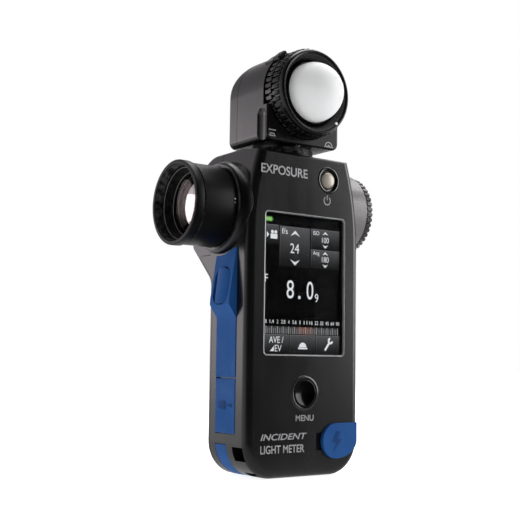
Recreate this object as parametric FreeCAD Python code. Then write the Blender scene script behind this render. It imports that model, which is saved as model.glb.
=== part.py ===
import FreeCAD, Part
import os
import math

V = FreeCAD.Vector

# ---------------------------------------------------------------------------
# Handheld light meter. Millimetres. X to the right of someone reading the
# screen, Y away from them, Z up. Origin: centre of the flat base, on the
# axis of the tripod thread.
# ---------------------------------------------------------------------------

# case
HALF_W = 29.1          # half width of the case
Y_FRONT = -13.0        # front face
Y_BACK = 15.0          # back face of the grip
Y_FINDER = 29.5        # back of the finder bulge
Z_TOP = 134.0          # top of the case
R_CORNER = 14.0        # bottom corners, seen from the front
R_SHOULDER = 115.0     # taper of the shoulders
Z_SHOULDER = 96.0      # where the taper starts
WALL = 1.8
R_FRONT_EDGE = 3.2     # rounding round the front face
Z_DIAG = 79.0          # foot of the 45 degree ramp under the finder bulge
SEAM_DEPTH = 12.3      # y of the seam between front and rear shells
Z_SEAM = 89.8          # underside of the finder housing
Y_SEAM_TOP = 14.5      # y of the seam of the finder housing
GAP = 0.12             # half of the visible gap at a seam

# screen
SCR_X = 21.25
SCR_Z0, SCR_Z1 = 48.4, 106.8
SCR_R = 2.0

# buttons
PWR = (11.7, 122.4)
PWR_BEZEL_R, PWR_R = 5.74, 3.4
MENU = (0.0, 33.55)
MENU_BEZEL_R, MENU_R = 7.18, 5.6
PRESS_FRONT = 0.8      # travel of the front buttons

# side grips
STRIP_Y0, STRIP_Y1 = -5.4, 8.3
STRIP_Z0, STRIP_Z1 = 39.6, 91.6
STRIP_ARC_R = 20.0     # the left strip's top follows the objective flange
WEDGE_X = 32.9         # crest of the thumb wedge
PILL_Y0, PILL_Y1 = -3.7, 6.5
PILL_Z0, PILL_Z1 = 69.0, 83.6
PRESS_SIDE = 0.9

# battery bay
CELL_R, CELL_L = 7.15, 50.5
COVER_X = 15.5
COVER_Z0, COVER_Z1 = 10.9, 68.7
HINGE = (13.6, 10.9)   # y, z of the cover hinge
LATCH_TRAVEL = 2.5

# tripod thread 1/4-20
TRIPOD_R = 2.75
TRIPOD_LEN = 7.0

# sync terminal and its cap
SYNC = (16.1, 14.0)
SYNC_R = 7.2

# finder
FIN_Y = 6.7
OBJ_Z = 108.8
EYE_Z = 111.9
OBJ_RIM_X = -51.94
OBJ_RIM_R = 17.2
OBJ_BARREL_R = 16.6
FILTER_R = 15.25       # 30.5 mm filter thread
FILTER_LEN = 3.9
EYE_X = 42.2
DIOPTRE_R = 17.0       # ribbed rim of the dioptre ring
EYE_COLLAR_R = 17.8    # fixed collar in front of it
EYE_COLLAR_X = 35.9

# head
NECK_Y = 4.0
HEAD_Z0 = 136.3
HEAD_HALF = 19.0
RING_Z = 157.4
RING_R = 18.6
DOME_R = 12.37
DOME_Y = -17.2
RETRACT = 10.0
EAR_Z = 151.0          # top of the block's ears beside the ring
POCKET_Y = -7.6        # front rim of the block around the ring's plain sleeve
SLEEVE_R = 17.6        # the ring's plain sleeve


# ---------------------------------------------------------------- helpers
def box(x0, x1, y0, y1, z0, z1):
    return Part.makeBox(x1 - x0, y1 - y0, z1 - z0, V(x0, y0, z0))


def cyl(r, p, d, h):
    return Part.makeCylinder(r, h, V(*p), V(*d))


def tube(ro, ri, p, d, h):
    q = V(*p) - V(*d) * 0.5
    return cyl(ro, p, d, h).cut(Part.makeCylinder(ri, h + 1.0, q, V(*d)))


def rounded_edges(pts, radii, to3):
    """Closed outline through pts with a fillet of radii[i] at point i."""
    n = len(pts)
    ins, outs, mids = [], [], []
    for i in range(n):
        p = V(pts[i][0], pts[i][1], 0)
        a = V(pts[i - 1][0], pts[i - 1][1], 0)
        b = V(pts[(i + 1) % n][0], pts[(i + 1) % n][1], 0)
        r = radii[i]
        if r <= 0:
            ins.append(p)
            outs.append(p)
            mids.append(None)
            continue
        u = (a - p).normalize()
        w = (b - p).normalize()
        ang = u.getAngle(w)
        t = r / math.tan(ang / 2)
        bis = (u + w).normalize()
        c = p + bis * (r / math.sin(ang / 2))
        ins.append(p + u * t)
        outs.append(p + w * t)
        mids.append(c - bis * r)
    edges = []
    for i in range(n):
        if mids[i] is not None:
            edges.append(Part.Arc(to3(ins[i]), to3(mids[i]), to3(outs[i])).toShape())
        a = outs[i]
        b = ins[(i + 1) % n]
        if (b - a).Length > 1e-6:
            edges.append(Part.LineSegment(to3(a), to3(b)).toShape())
    return edges


def face_of(edges):
    return Part.Face(Part.Wire(edges))


def xz_prism(pts, radii, y0, y1):
    f = face_of(rounded_edges(pts, radii, lambda p: V(p.x, y0, p.y)))
    return f.extrude(V(0, y1 - y0, 0))


def yz_prism(pts, radii, x0, x1):
    f = face_of(rounded_edges(pts, radii, lambda p: V(x0, p.x, p.y)))
    return f.extrude(V(x1 - x0, 0, 0))


def rev_x(pts, cy, cz, radii=None):
    """Solid of revolution about the line parallel to X through (cy, cz); pts are (x, r)."""
    radii = radii or [0] * len(pts)
    f = face_of(rounded_edges(pts, radii, lambda p: V(p.x, cy, cz + p.y)))
    return f.revolve(V(0, cy, cz), V(1, 0, 0), 360)


def rev_y(pts, cx, cz, radii=None):
    radii = radii or [0] * len(pts)
    f = face_of(rounded_edges(pts, radii, lambda p: V(cx, p.x, cz + p.y)))
    return f.revolve(V(cx, 0, cz), V(0, 1, 0), 360)


def rev_z(pts, cx, cy, radii=None):
    radii = radii or [0] * len(pts)
    f = face_of(rounded_edges(pts, radii, lambda p: V(cx + p.y, cy, p.x)))
    return f.revolve(V(cx, cy, 0), V(0, 0, 1), 360)


def gear_edges(n, ro, ri, duty, to3):
    """Closed toothed outline: n lands at ro, n gaps at ri."""
    pts = []
    for i in range(n):
        a0 = 2 * math.pi * i / n
        a1 = a0 + 2 * math.pi / n * duty
        a2 = a0 + 2 * math.pi / n
        pts += [to3(ro, a0), to3(ro, a1), to3(ri, a1), to3(ri, a2)]
    pts.append(pts[0])
    return Part.makePolygon(pts)


def fuse(*s):
    r = s[0]
    for o in s[1:]:
        r = r.fuse(o)
    return r.removeSplitter()


def outline(i, grow=0.0):
    """Front outline of the case, inset by i."""
    w = HALF_W - i
    r = R_CORNER - i
    cx = HALF_W - R_CORNER
    rs = R_SHOULDER - i
    sx = HALF_W - R_SHOULDER
    zt = 140.0
    xt = sx + math.sqrt(rs * rs - (zt - Z_SHOULDER) ** 2)
    zm = Z_SHOULDER + (zt - Z_SHOULDER) / 2
    xm = sx + math.sqrt(rs * rs - (zm - Z_SHOULDER) ** 2)
    k = r * math.sqrt(0.5)

    def p(x, z):
        return V(x, 0, z)
    return [
        Part.LineSegment(p(-cx, i), p(cx, i)).toShape(),
        Part.Arc(p(cx, i), p(cx + k, R_CORNER - k), p(w, R_CORNER)).toShape(),
        Part.LineSegment(p(w, R_CORNER), p(w, Z_SHOULDER)).toShape(),
        Part.Arc(p(w, Z_SHOULDER), p(xm, zm), p(xt, zt)).toShape(),
        Part.LineSegment(p(xt, zt), p(-xt, zt)).toShape(),
        Part.Arc(p(-xt, zt), p(-xm, zm), p(-w, Z_SHOULDER)).toShape(),
        Part.LineSegment(p(-w, Z_SHOULDER), p(-w, R_CORNER)).toShape(),
        Part.Arc(p(-w, R_CORNER), p(-cx - k, R_CORNER - k), p(-cx, i)).toShape(),
    ]


def outline_prism(i, y0, y1):
    f = face_of(outline(i))
    f.translate(V(0, y0, 0))
    return f.extrude(V(0, y1 - y0, 0))


def side_profile(i):
    t = math.tan(math.radians(22.5)) * i
    return [(Y_FRONT + i, -2.0), (Y_BACK - i, -2.0), (Y_BACK - i, Z_DIAG + t),
            (Y_FINDER - i, Z_DIAG + (Y_FINDER - Y_BACK) + t), (Y_FINDER - i, Z_TOP - i - 0.35),
            (4.0, Z_TOP - i), (Y_FRONT + i, Z_TOP - 2.7 - i)]


def case_solid(i, fillet):
    a = outline_prism(i, Y_FRONT + i, 31.0)
    if fillet:
        es = [e for e in a.Edges if e.BoundBox.YMax < Y_FRONT + 1e-3 and e.BoundBox.ZMin < 139.0]
        a = a.makeFillet(R_FRONT_EDGE, es)
    rr = [0, 0, max(6.0 - 0.0, 1), max(3.0 - i, 0.5), max(9.0 - i, 1), 0, 1.2 if fillet else 0]
    b = yz_prism(side_profile(i), rr, -35, 35)
    s = a.common(b)
    if fillet:
        done = False
        for r in (2.4, 1.8, 1.2):
            es = []
            for e in s.Edges:
                m = e.valueAt((e.FirstParameter + e.LastParameter) / 2)
                bb = e.BoundBox
                rear = (abs(m.y - Y_BACK) < 0.02 or (m.y > Y_BACK - 0.02 and m.z < Z_TOP - 9.4))
                across = bb.XLength > 20 and abs(m.x) < 1 and m.z > 2
                if rear and not across and m.y > Y_BACK - 0.02:
                    es.append(e)
            try:
                t = s.makeFillet(r, es)
                if t.isValid() and t.Volume > 0.9 * s.Volume:
                    s = t
                    done = True
                    break
            except Exception:
                pass
        print("rear edge fillet:", done)
    return s


os.makedirs("parts", exist_ok=True)
SAVED = {}


def save(name, shape):
    if shape.ShapeType == "Compound" and len(shape.Solids) == 1:
        shape = shape.Solids[0]
    ok = shape.isValid() and len(shape.Solids) >= 1 and all(q.Volume > 0 for q in shape.Solids)
    SAVED[name] = shape
    shape.exportStep("parts/" + name + ".step")
    bb = shape.BoundBox
    print("%-22s %2d solids vol %9.1f ok=%s  x %.2f..%.2f y %.2f..%.2f z %.2f..%.2f" % (
        name, len(shape.Solids), shape.Volume, ok, bb.XMin, bb.XMax, bb.YMin, bb.YMax, bb.ZMin, bb.ZMax))


# ---------------------------------------------------------------- case
CASE = case_solid(0.0, True)
INNER = case_solid(WALL, False)
shell = CASE.cut(INNER)

# regions of the three shells, as prisms across the width
diag_y = SEAM_DEPTH
z_knee = Z_DIAG + 0.4
y_notch = SEAM_DEPTH + (Z_SEAM - z_knee)
front_region = yz_prism([(-20, -5), (SEAM_DEPTH - GAP, -5), (SEAM_DEPTH - GAP, z_knee),
                         (y_notch - GAP, Z_SEAM - GAP), (Y_SEAM_TOP - GAP, Z_SEAM - GAP),
                         (Y_SEAM_TOP - GAP, 145), (-20, 145)], [0] * 7, -40, 40)
rear_region = yz_prism([(SEAM_DEPTH + GAP, -5), (40, -5), (40, Z_SEAM - GAP), (y_notch + GAP, Z_SEAM - GAP),
                        (SEAM_DEPTH + GAP, z_knee)], [0] * 5, -40, 40)
finder_region = yz_prism([(Y_SEAM_TOP + GAP, Z_SEAM + GAP), (40, Z_SEAM + GAP), (40, 145),
                          (Y_SEAM_TOP + GAP, 145)], [0] * 4, -40, 40)

front = shell.common(front_region)
rear = shell.common(rear_region)
finder = shell.common(finder_region)

# thin floor under the finder housing closes it towards the grip
# strap eyelet: an L-shaped channel from the side to the underside of the left corner
EY0, EY1 = -10.6, -3.5
eye_block = box(-29.0, -16.8, EY0 - 1.2, EY1 + 1.2, 0.3, 13.8).common(CASE)
eye_cut = fuse(box(-31.0, -18.0, EY0, EY1, 7.0, 12.5), box(-22.8, -18.0, EY0, EY1, -1.0, 12.5))
front = front.fuse(eye_block).cut(eye_cut)

# swivel boss under the top wall, and its bore
boss = cyl(13.4, (0, NECK_Y, 129.5), (0, 0, 1), 3.4).common(CASE.common(front_region))
front = front.fuse(boss)
front = front.cut(cyl(9.25, (0, NECK_Y, 120), (0, 0, 1), 20))

# screen opening
scr_pts = [(-SCR_X, SCR_Z0), (SCR_X, SCR_Z0), (SCR_X, SCR_Z1), (-SCR_X, SCR_Z1)]
front = front.cut(xz_prism(scr_pts, [SCR_R] * 4, -16, -10))
# button openings
front = front.cut(cyl(PWR_BEZEL_R + 0.03, (PWR[0], -16, PWR[1]), (0, 1, 0), 6))
front = front.cut(cyl(MENU_BEZEL_R + 0.03, (MENU[0], -16, MENU[1]), (0, 1, 0), 6))
# finder openings in the side walls
front = front.cut(cyl(12.5, (-40, FIN_Y, OBJ_Z), (1, 0, 0), 20))
finder = finder.cut(cyl(12.5, (-40, FIN_Y, OBJ_Z), (1, 0, 0), 20))
front = front.cut(cyl(10.7, (20, FIN_Y, EYE_Z), (1, 0, 0), 20))
finder = finder.cut(cyl(10.7, (20, FIN_Y, EYE_Z), (1, 0, 0), 20))

# tripod bush boss
bush_boss = cyl(6.6, (0, 0, 0.6), (0, 0, 1), 8.2)
front = front.fuse(bush_boss).cut(cyl(4.8, (0, 0, -1), (0, 0, 1), 8.8)).cut(
    cyl(5.6, (0, 0, 7.2), (0, 0, 1), 3))

# grip strip pockets, both sides
strip_pocket = box(-32, -27.9, STRIP_Y0 - 0.15, STRIP_Y1 + 0.15, 17.2, STRIP_Z1 + 0.15)
obj_arc = cyl(STRIP_ARC_R - 0.15, (-45, FIN_Y, OBJ_Z), (1, 0, 0), 30)
front = front.cut(strip_pocket.cut(obj_arc))
front = front.cut(box(27.9, 32, STRIP_Y0 - 0.15, STRIP_Y1 + 0.15, STRIP_Z0 - 0.15, STRIP_Z1 + 0.15))
# button and socket openings in the pocket floors
for sx in (-1, 1):
    xs = sorted((sx * 26.0, sx * 30.0))
    front = front.cut(box(xs[0], xs[1], PILL_Y0 + 0.6, PILL_Y1 - 0.6, PILL_Z0 + 0.6, PILL_Z1 - 0.6))
front = front.cut(box(-30, -26, -5.2, -1.4, 23.8, 33.4))

# corner guard groove
guard_zone = box(-31, -9.5, 0.6, 8.4, -1, 13.2)
groove = guard_zone.common(outline_prism(-0.5, 0.6, 8.4).cut(outline_prism(1.2, 0.0, 9.0)))
front = front.cut(groove)


def skin(i):
    """The case's front and flanks, inset by i, with its rounded front edge."""
    a = outline_prism(i, Y_FRONT + i, 31.0)
    es = [e for e in a.Edges if e.BoundBox.YMax < Y_FRONT + i + 1e-3 and e.BoundBox.ZMin < 139.0]
    return a.makeFillet(R_FRONT_EDGE - i, es)


# sync terminal recess, finger notch, terminal bore
def cap_face(g, y0, y1):
    cx, cz = SYNC
    r = SYNC_R + g
    xr = 27.2 + g
    a = xr - cx
    e = Part.Ellipse(V(cx, y0, cz), a, r)
    pts = []
    for k in range(0, 13):
        th = math.radians(90.0 * k / 12)
        pts.append(V(cx + r * 0 + a * math.sin(th), y0, cz - r * math.cos(th)))
    edges = [Part.Arc(V(cx, y0, cz + r), V(cx - r, y0, cz), V(cx, y0, cz - r)).toShape()]
    sp = Part.BSplineCurve()
    sp.interpolate(pts)
    edges.append(sp.toShape())
    edges.append(Part.LineSegment(pts[-1], V(xr, y0, cz + r)).toShape())
    edges.append(Part.LineSegment(V(xr, y0, cz + r), V(cx, y0, cz + r)).toShape())
    return Part.Face(Part.Wire(edges)).extrude(V(0, y1 - y0, 0))


front = front.cut(cap_face(0.2, -16, -12.3))
front = front.cut(xz_prism([(6.1, 10.4), (10.5, 10.4), (10.5, 17.5), (6.1, 17.5)], [0.5, 0, 0, 0.5], -16, -11.9))
sync_boss = cyl(6.6, (SYNC[0], -12.0, SYNC[1]), (0, 1, 0), 3.4).common(INNER)
front = front.fuse(sync_boss).cut(cyl(5.6, (SYNC[0], -15, SYNC[1]), (0, 1, 0), 8))
tether_zone = box(27.45, 31, -16, -7.6, 13.5, 21.3)
front = front.cut(tether_zone.common(CASE.cut(skin(0.75))))

# screw bosses
SCREWS = [(-22.6, 45.0), (22.6, 45.0), (-22.6, 75.0), (22.6, 75.0)]
for (x, z) in SCREWS:
    b = cyl(2.6, (x, 3.0, z), (0, 1, 0), SEAM_DEPTH - GAP - 3.0)
    link = box(min(x, x + math.copysign(5.5, x)), max(x, x + math.copysign(5.5, x)), 3.0, SEAM_DEPTH - 0.6, z - 0.8, z + 0.8).common(INNER)
    front = front.fuse(b).fuse(link)
    front = front.cut(cyl(0.85, (x, 2.5, z), (0, 1, 0), 12))
front = front.removeSplitter()
save("front_shell", front)

# rear shell: battery opening, screw seats
rear = rear.cut(box(-COVER_X - 0.25, COVER_X + 0.25, 10, 18, 9.2, COVER_Z1 + 0.25))
for (x, z) in SCREWS:
    rear = rear.fuse(cyl(2.9, (x, SEAM_DEPTH + GAP, z), (0, 1, 0), 1.2))
    rear = rear.cut(cyl(1.15, (x, 10, z), (0, 1, 0), 8)).cut(cyl(2.1, (x, 13.6, z), (0, 1, 0), 3))
# lugs that hold the ends of the hinge pin
for sx in (-1, 1):
    xs = sorted((sx * 15.75, sx * 18.2))
    lug = box(xs[0], xs[1], 12.5, 14.6, 9.2, 12.6)
    rear = rear.fuse(lug)
rear = rear.cut(cyl(0.76, (-17.8, HINGE[0], HINGE[1]), (1, 0, 0), 35.6))
# shelf that stiffens the top of the rear shell
rear = rear.removeSplitter()
save("rear_shell", rear)

# finder housing with ribs inside
rib = box(-24, 24, Y_SEAM_TOP + 0.3, 27.0, 124.0, 125.2).common(case_solid(WALL - 0.3, False)).common(finder_region)
rib = rib.cut(cyl(13.0, (-40, FIN_Y, OBJ_Z), (1, 0, 0), 80))
finder = finder.fuse(rib).removeSplitter()
# the hole for the neck boss
finder = finder.cut(cyl(13.6, (0, NECK_Y, 126), (0, 0, 1), 6.4))
save("finder_housing", finder)

# ---------------------------------------------------------------- screen
bez = xz_prism([(-SCR_X + 0.05, SCR_Z0 + 0.05), (SCR_X - 0.05, SCR_Z0 + 0.05), (SCR_X - 0.05, SCR_Z1 - 0.05),
                (-SCR_X + 0.05, SCR_Z1 - 0.05)], [SCR_R - 0.05] * 4, -12.95, -11.2)
bez = bez.cut(xz_prism([(-SCR_X + 0.65, SCR_Z0 + 0.65), (SCR_X - 0.65, SCR_Z0 + 0.65), (SCR_X - 0.65, SCR_Z1 - 0.65),
                        (-SCR_X + 0.65, SCR_Z1 - 0.65)], [SCR_R - 0.6] * 4, -14, -10))
save("screen_bezel", bez)
glass = xz_prism([(-SCR_X + 0.7, SCR_Z0 + 0.7), (SCR_X - 0.7, SCR_Z0 + 0.7), (SCR_X - 0.7, SCR_Z1 - 0.7),
                  (-SCR_X + 0.7, SCR_Z1 - 0.7)], [SCR_R - 0.7] * 4, -12.3, -11.25)
save("touch_glass", glass)
lcd = box(-22.4, 22.4, -11.1, -7.8, 47.0, 108.2)
lcd = lcd.cut(box(-20.2, 20.2, -12, -10.7, 49.2, 106.0))
save("lcd_module", lcd)

# board, with a cut-away at the tripod boss and the neck
board = xz_prism([(-25.0, 22.0), (25.0, 22.0), (25.0, 96.0), (21.0, 126.0), (-21.0, 126.0), (-25.0, 96.0)],
                 [2, 2, 1, 2, 2, 1], -6.5, -4.9)
chips = [box(-14, -4, -4.9, -3.9, 76, 86), box(4, 12, -4.9, -3.9, 78, 86), box(-6, 2, -7.3, -6.5, 112, 120)]
board = fuse(board, *chips)
board = board.cut(cyl(12.7, (-40, FIN_Y, OBJ_Z), (1, 0, 0), 21.6))
save("main_board", board)
sw = [box(PWR[0] - 3, PWR[0] + 3, -8.5, -6.55, PWR[1] - 3, PWR[1] + 3),
      box(-3, 3, -8.5, -6.55, MENU[1] - 3, MENU[1] + 3),
      box(-26.5, -24.0, -4.8, -1.2, 73.0, 79.0), box(24.0, 26.5, -4.8, -1.2, 73.0, 79.0)]
save("tact_switches", Part.makeCompound(sw))

# ---------------------------------------------------------------- batteries
tray = box(-16.6, 16.6, -3.4, 11.9, 9.4, 68.6)
tray = tray.cut(box(-15.4, 15.4, -2.3, 13, 10.6, 67.4))
rib = box(-0.35, 0.35, -2.3, 0.2, 10.6, 66.9)
for z in (22.0, 56.0):
    tray = tray.fuse(box(-0.35, 0.35, -2.3, 1.2, z, z + 1.2))
tray = fuse(tray, rib)
save("battery_tray", tray)


def cell(x, up):
    pts = [(0, 0), (0, CELL_R - 0.6), (0.6, CELL_R), (CELL_L - 1.6, CELL_R), (CELL_L - 1.0, CELL_R - 0.8),
           (CELL_L - 1.0, 2.6), (CELL_L, 2.6), (CELL_L, 0)]
    s = rev_z(pts, 0, 0)
    if not up:
        s.rotate(V(0, 0, CELL_L / 2), V(1, 0, 0), 180)
    s.translate(V(x, 5.3, 13.6))
    return s


save("batteries", Part.makeCompound([cell(-7.7, True), cell(7.7, False)]))


def contact_spring(x, z0, z1):
    pts = [(z0, 4.2), (z0, 5.2), (z1, 3.2), (z1, 2.2)]
    return rev_z(pts, x, 5.3)


con = [box(-14.0, -2.0, -1.0, 11.0, 10.65, 10.95).fuse(contact_spring(-7.7, 10.95, 13.5)),
       box(2.0, 14.0, -1.0, 11.0, 10.65, 10.95).fuse(cyl(2.6, (7.7, 5.3, 10.95), (0, 0, 1), 2.6)),
       box(-14.0, 14.0, -1.0, 11.0, 67.05, 67.35).fuse(cyl(2.6, (-7.7, 5.3, 64.15), (0, 0, 1), 2.9))]
t = rev_z([(67.05, 4.2), (67.05, 5.2), (64.2, 3.2), (64.2, 2.2)], 7.7, 5.3)
con[2] = con[2].fuse(t)
save("battery_contacts", Part.makeCompound([c.Solids[0] for c in con]))

cover = fuse(box(-COVER_X, COVER_X, 13.3, 15.0, HINGE[1], COVER_Z1),
             cyl(1.4, (-13.0, HINGE[0], HINGE[1]), (1, 0, 0), 26.0))
cover = cover.cut(box(-COVER_X - 1, -13.0, 12, 16, 9, 12.9)).cut(box(13.0, COVER_X + 1, 12, 16, 9, 12.9))
cover = cover.cut(cyl(0.81, (-20, HINGE[0], HINGE[1]), (1, 0, 0), 40))
cover = cover.cut(box(-7.2, 7.2, 14.0, 16, 56.6, 66.4))
save("battery_cover", cover)
save("battery_hinge_pin", cyl(0.75, (-17.6, HINGE[0], HINGE[1]), (1, 0, 0), 35.2))
latch = box(-6.9, 6.9, 14.05, 15.0, 60.0, 66.1)
for k in range(5):
    latch = latch.fuse(box(-5.5, 5.5, 14.9, 15.35, 61.0 + k, 61.45 + k))
save("latch_slider", latch.removeSplitter())

# ---------------------------------------------------------------- tripod bush, foot, strips
bush = cyl(4.75, (0, 0, 0.0), (0, 0, 1), 7.2).fuse(cyl(5.5, (0, 0, 7.2), (0, 0, 1), 1.4))
bush = bush.cut(cyl(TRIPOD_R, (0, 0, -1), (0, 0, 1), 1 + TRIPOD_LEN))
save("tripod_bush", bush.removeSplitter())

guard = box(-31, -9.8, 0.75, 8.25, -1, 13.0).common(
    outline_prism(0.0, 0.75, 8.25).cut(outline_prism(1.15, 0.0, 9.0)))
save("corner_guard", guard)


def strip(side):
    """Grip strip with a thumb wedge; side -1 is the left."""
    z0, z1 = STRIP_Z0, STRIP_Z1
    xi, xo = 27.95, 29.4
    pts = [(xi, z0), (xo, z0), (xo, 63.6), (WEDGE_X, 68.6), (WEDGE_X - 0.1, 71.0), (29.6, z1), (xi, z1)]
    f = face_of(rounded_edges(pts, [0, 0.4, 2.0, 1.2, 2.0, 0.3, 0], lambda p: V(p.x, STRIP_Y0, p.y)))
    s = f.extrude(V(0, STRIP_Y1 - STRIP_Y0, 0))
    # pill opening
    p = yz_prism([(PILL_Y0 - 0.35, PILL_Z0 - 0.35), (PILL_Y1 + 0.35, PILL_Z0 - 0.35),
                  (PILL_Y1 + 0.35, PILL_Z1 + 0.35), (PILL_Y0 - 0.35, PILL_Z1 + 0.35)], [4.6] * 4, 26, 36)
    s = s.cut(p)
    if side < 0:
        s = s.mirror(V(0, 0, 0), V(1, 0, 0))
        s = s.cut(cyl(STRIP_ARC_R, (-45, FIN_Y, OBJ_Z), (1, 0, 0), 30))
    return s


save("left_grip_strip", strip(-1))
save("right_grip_strip", strip(1))


def pill(side):
    p = yz_prism([(PILL_Y0, PILL_Z0), (PILL_Y1, PILL_Z0), (PILL_Y1, PILL_Z1), (PILL_Y0, PILL_Z1)],
                 [4.3] * 4, 28.9, 36)
    # crown that leans with the wedge and is round across
    cyc = (PILL_Y0 + PILL_Y1) / 2
    lo = V(33.9, cyc, 66.0)
    hi = V(31.3, cyc, 87.0)
    d = (hi - lo)
    r = 9.0
    n = V(d.z, 0, -d.x).normalize()
    base = lo - n * r
    crown = Part.makeCylinder(r, d.Length, base, d)
    p = p.common(crown.fuse(box(20, 29.5, -10, 12, 60, 90)))
    stem = box(26.7, 29.0, PILL_Y0 + 1.0, PILL_Y1 - 1.0, PILL_Z0 + 1.0, PILL_Z1 - 1.0)
    stem = stem.cut(box(20, 28.5, -6, 10, 72.5, 79.5))
    s = p.fuse(stem).removeSplitter()
    if side < 0:
        s = s.mirror(V(0, 0, 0), V(1, 0, 0))
    return s


save("measuring_button", pill(-1))
save("memory_button", pill(1))

usb = box(-29.4, -27.95, STRIP_Y0 - 0.9 + 0.95, STRIP_Y1 - 0.0, 17.5, 39.15)
usb = fuse(box(-29.4, -27.95, STRIP_Y0, STRIP_Y1, 17.5, 39.15), box(-27.95, -27.35, -4.7, -1.9, 24.4, 32.8))
save("usb_cover", usb)
us = box(-27.2, -20.6, -4.85, -1.95, 24.2, 33.0).cut(box(-28, -21.4, -4.4, -2.4, 24.7, 32.5))
us = us.fuse(box(-26.4, -21.4, -3.6, -3.2, 25.6, 31.6))
save("usb_socket", us.removeSplitter())

save("sync_cap", cap_face(0.0, -14.2, -12.35))
sock = cyl(5.5, (SYNC[0], -12.2, SYNC[1]), (0, 1, 0), 5.0).cut(cyl(3.6, (SYNC[0], -13, SYNC[1]), (0, 1, 0), 4.4))
sock = sock.cut(cyl(0.9, (SYNC[0], -9, SYNC[1]), (0, 1, 0), 1.4))
save("sync_socket", sock.removeSplitter())
teth = box(27.55, 31, -16, -7.7, 13.6, 21.2).common(skin(-0.35).cut(skin(0.70)))
save("sync_tether", teth)

# ---------------------------------------------------------------- front buttons
pb = rev_y([(-13.25, 3.75), (-13.25, PWR_BEZEL_R - 0.5), (-12.9, PWR_BEZEL_R), (-10.9, PWR_BEZEL_R), (-10.9, 3.55),
            (-12.4, 3.55)], PWR[0], PWR[1])
save("power_bezel", pb)
btn = rev_y([(-13.75, 0), (-13.55, 2.2), (-13.2, 3.0), (-12.8, PWR_R), (-10.6, PWR_R), (-10.6, 2.0), (-9.4, 2.0), (-9.4, 0)],
            PWR[0], PWR[1])
save("power_button", btn)
mb = rev_y([(-13.2, MENU_R + 0.25), (-13.35, MENU_R + 0.6), (-13.25, MENU_BEZEL_R - 0.3), (-12.9, MENU_BEZEL_R), (-10.9, MENU_BEZEL_R),
            (-10.9, MENU_R + 0.2)], MENU[0], MENU[1])
save("menu_bezel", mb)
mbtn = rev_y([(-12.9, 0), (-13.1, 3.2), (-13.4, MENU_R - 0.7), (-13.1, MENU_R), (-10.6, MENU_R), (-10.6, 2.0), (-9.4, 2.0), (-9.4, 0)],
             MENU[0], MENU[1])
save("menu_button", mbtn)

scr = []
for (x, z) in SCREWS:
    s = cyl(0.82, (x, 5.0, z), (0, 1, 0), 8.8).fuse(cyl(1.9, (x, 13.65, z), (0, 1, 0), 1.05))
    s = s.cut(box(x - 1.2, x + 1.2, 14.2, 15, z - 0.22, z + 0.22)).cut(box(x - 0.22, x + 0.22, 14.2, 15, z - 1.2, z + 1.2))
    scr.append(s.removeSplitter())
save("case_screws", Part.makeCompound([q.Solids[0] for q in scr]))

# ---------------------------------------------------------------- finder, objective side
flange = rev_x([(-22, 12.6), (-22, 19.5), (-29.2, 19.2), (-31.0, 18.4), (-31.9, 17.6), (-32.6, 17.6), (-32.6, 16.9),
                (-31.6, 16.9), (-31.6, 12.6)], FIN_Y, OBJ_Z, [0, 0, 6, 0, 0, 0, 0, 0, 0])
flange = flange.cut(CASE)
fl = max(flange.Solids, key=lambda q: q.Volume)
save("objective_flange", fl)
barrel = rev_x([(-47.9, 14.9), (-47.9, 16.1), (-47.5, 16.1), (-47.5, OBJ_BARREL_R), (-32.9, OBJ_BARREL_R), (-32.9, 16.0),
                (-31.75, 16.0), (-31.75, 12.3), (-19.0, 12.3), (-19.0, 11.2), (-39.5, 11.2), (-39.5, 12.2), (-41.0, 12.2),
                (-41.0, 13.55), (-42.6, 13.55), (-42.6, 14.9)], FIN_Y, OBJ_Z)
save("objective_barrel", barrel)
fring = rev_x([(OBJ_RIM_X, FILTER_R), (OBJ_RIM_X, OBJ_RIM_R - 0.35), (OBJ_RIM_X + 0.35, OBJ_RIM_R), (-48.4, OBJ_RIM_R),
               (-48.05, OBJ_RIM_R - 0.3), (-48.05, FILTER_R)], FIN_Y, OBJ_Z)
save("objective_front_ring", fring)
hood = rev_x([(-47.85, 14.2), (-47.85, 14.82), (-44.5, 14.82), (-44.5, 12.9)], FIN_Y, OBJ_Z)
save("objective_hood", hood)
ret = rev_x([(-44.4, 12.7), (-44.4, 14.82), (-43.15, 14.82), (-43.15, 12.7)], FIN_Y, OBJ_Z)
save("lens_retainer", ret)


def lens_x(x0, x1, r, bulge0, bulge1, cz):
    """Biconvex lens about X: rim from x0 to x1, bulging beyond each by the given amounts."""
    def P(x, rr):
        return V(x, FIN_Y, cz + rr)
    def mid(b):
        R = (r * r + b * b) / (2 * b)
        h = math.asin(r / R) / 2
        return b - R + R * math.cos(h), R * math.sin(h)
    a0, m0 = mid(bulge0)
    a1, m1 = mid(bulge1)
    es = [Part.LineSegment(P(x0 - bulge0, 0), P(x1 + bulge1, 0)).toShape(),
          Part.Arc(P(x1 + bulge1, 0), P(x1 + a1, m1), P(x1, r)).toShape(),
          Part.LineSegment(P(x1, r), P(x0, r)).toShape(),
          Part.Arc(P(x0, r), P(x0 - a0, m0), P(x0 - bulge0, 0)).toShape()]
    return Part.Face(Part.Wire(es)).revolve(V(0, FIN_Y, cz), V(1, 0, 0), 360)


save("objective_lens", lens_x(-42.8, -41.25, 13.5, 2.6, 0.9, OBJ_Z))

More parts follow.
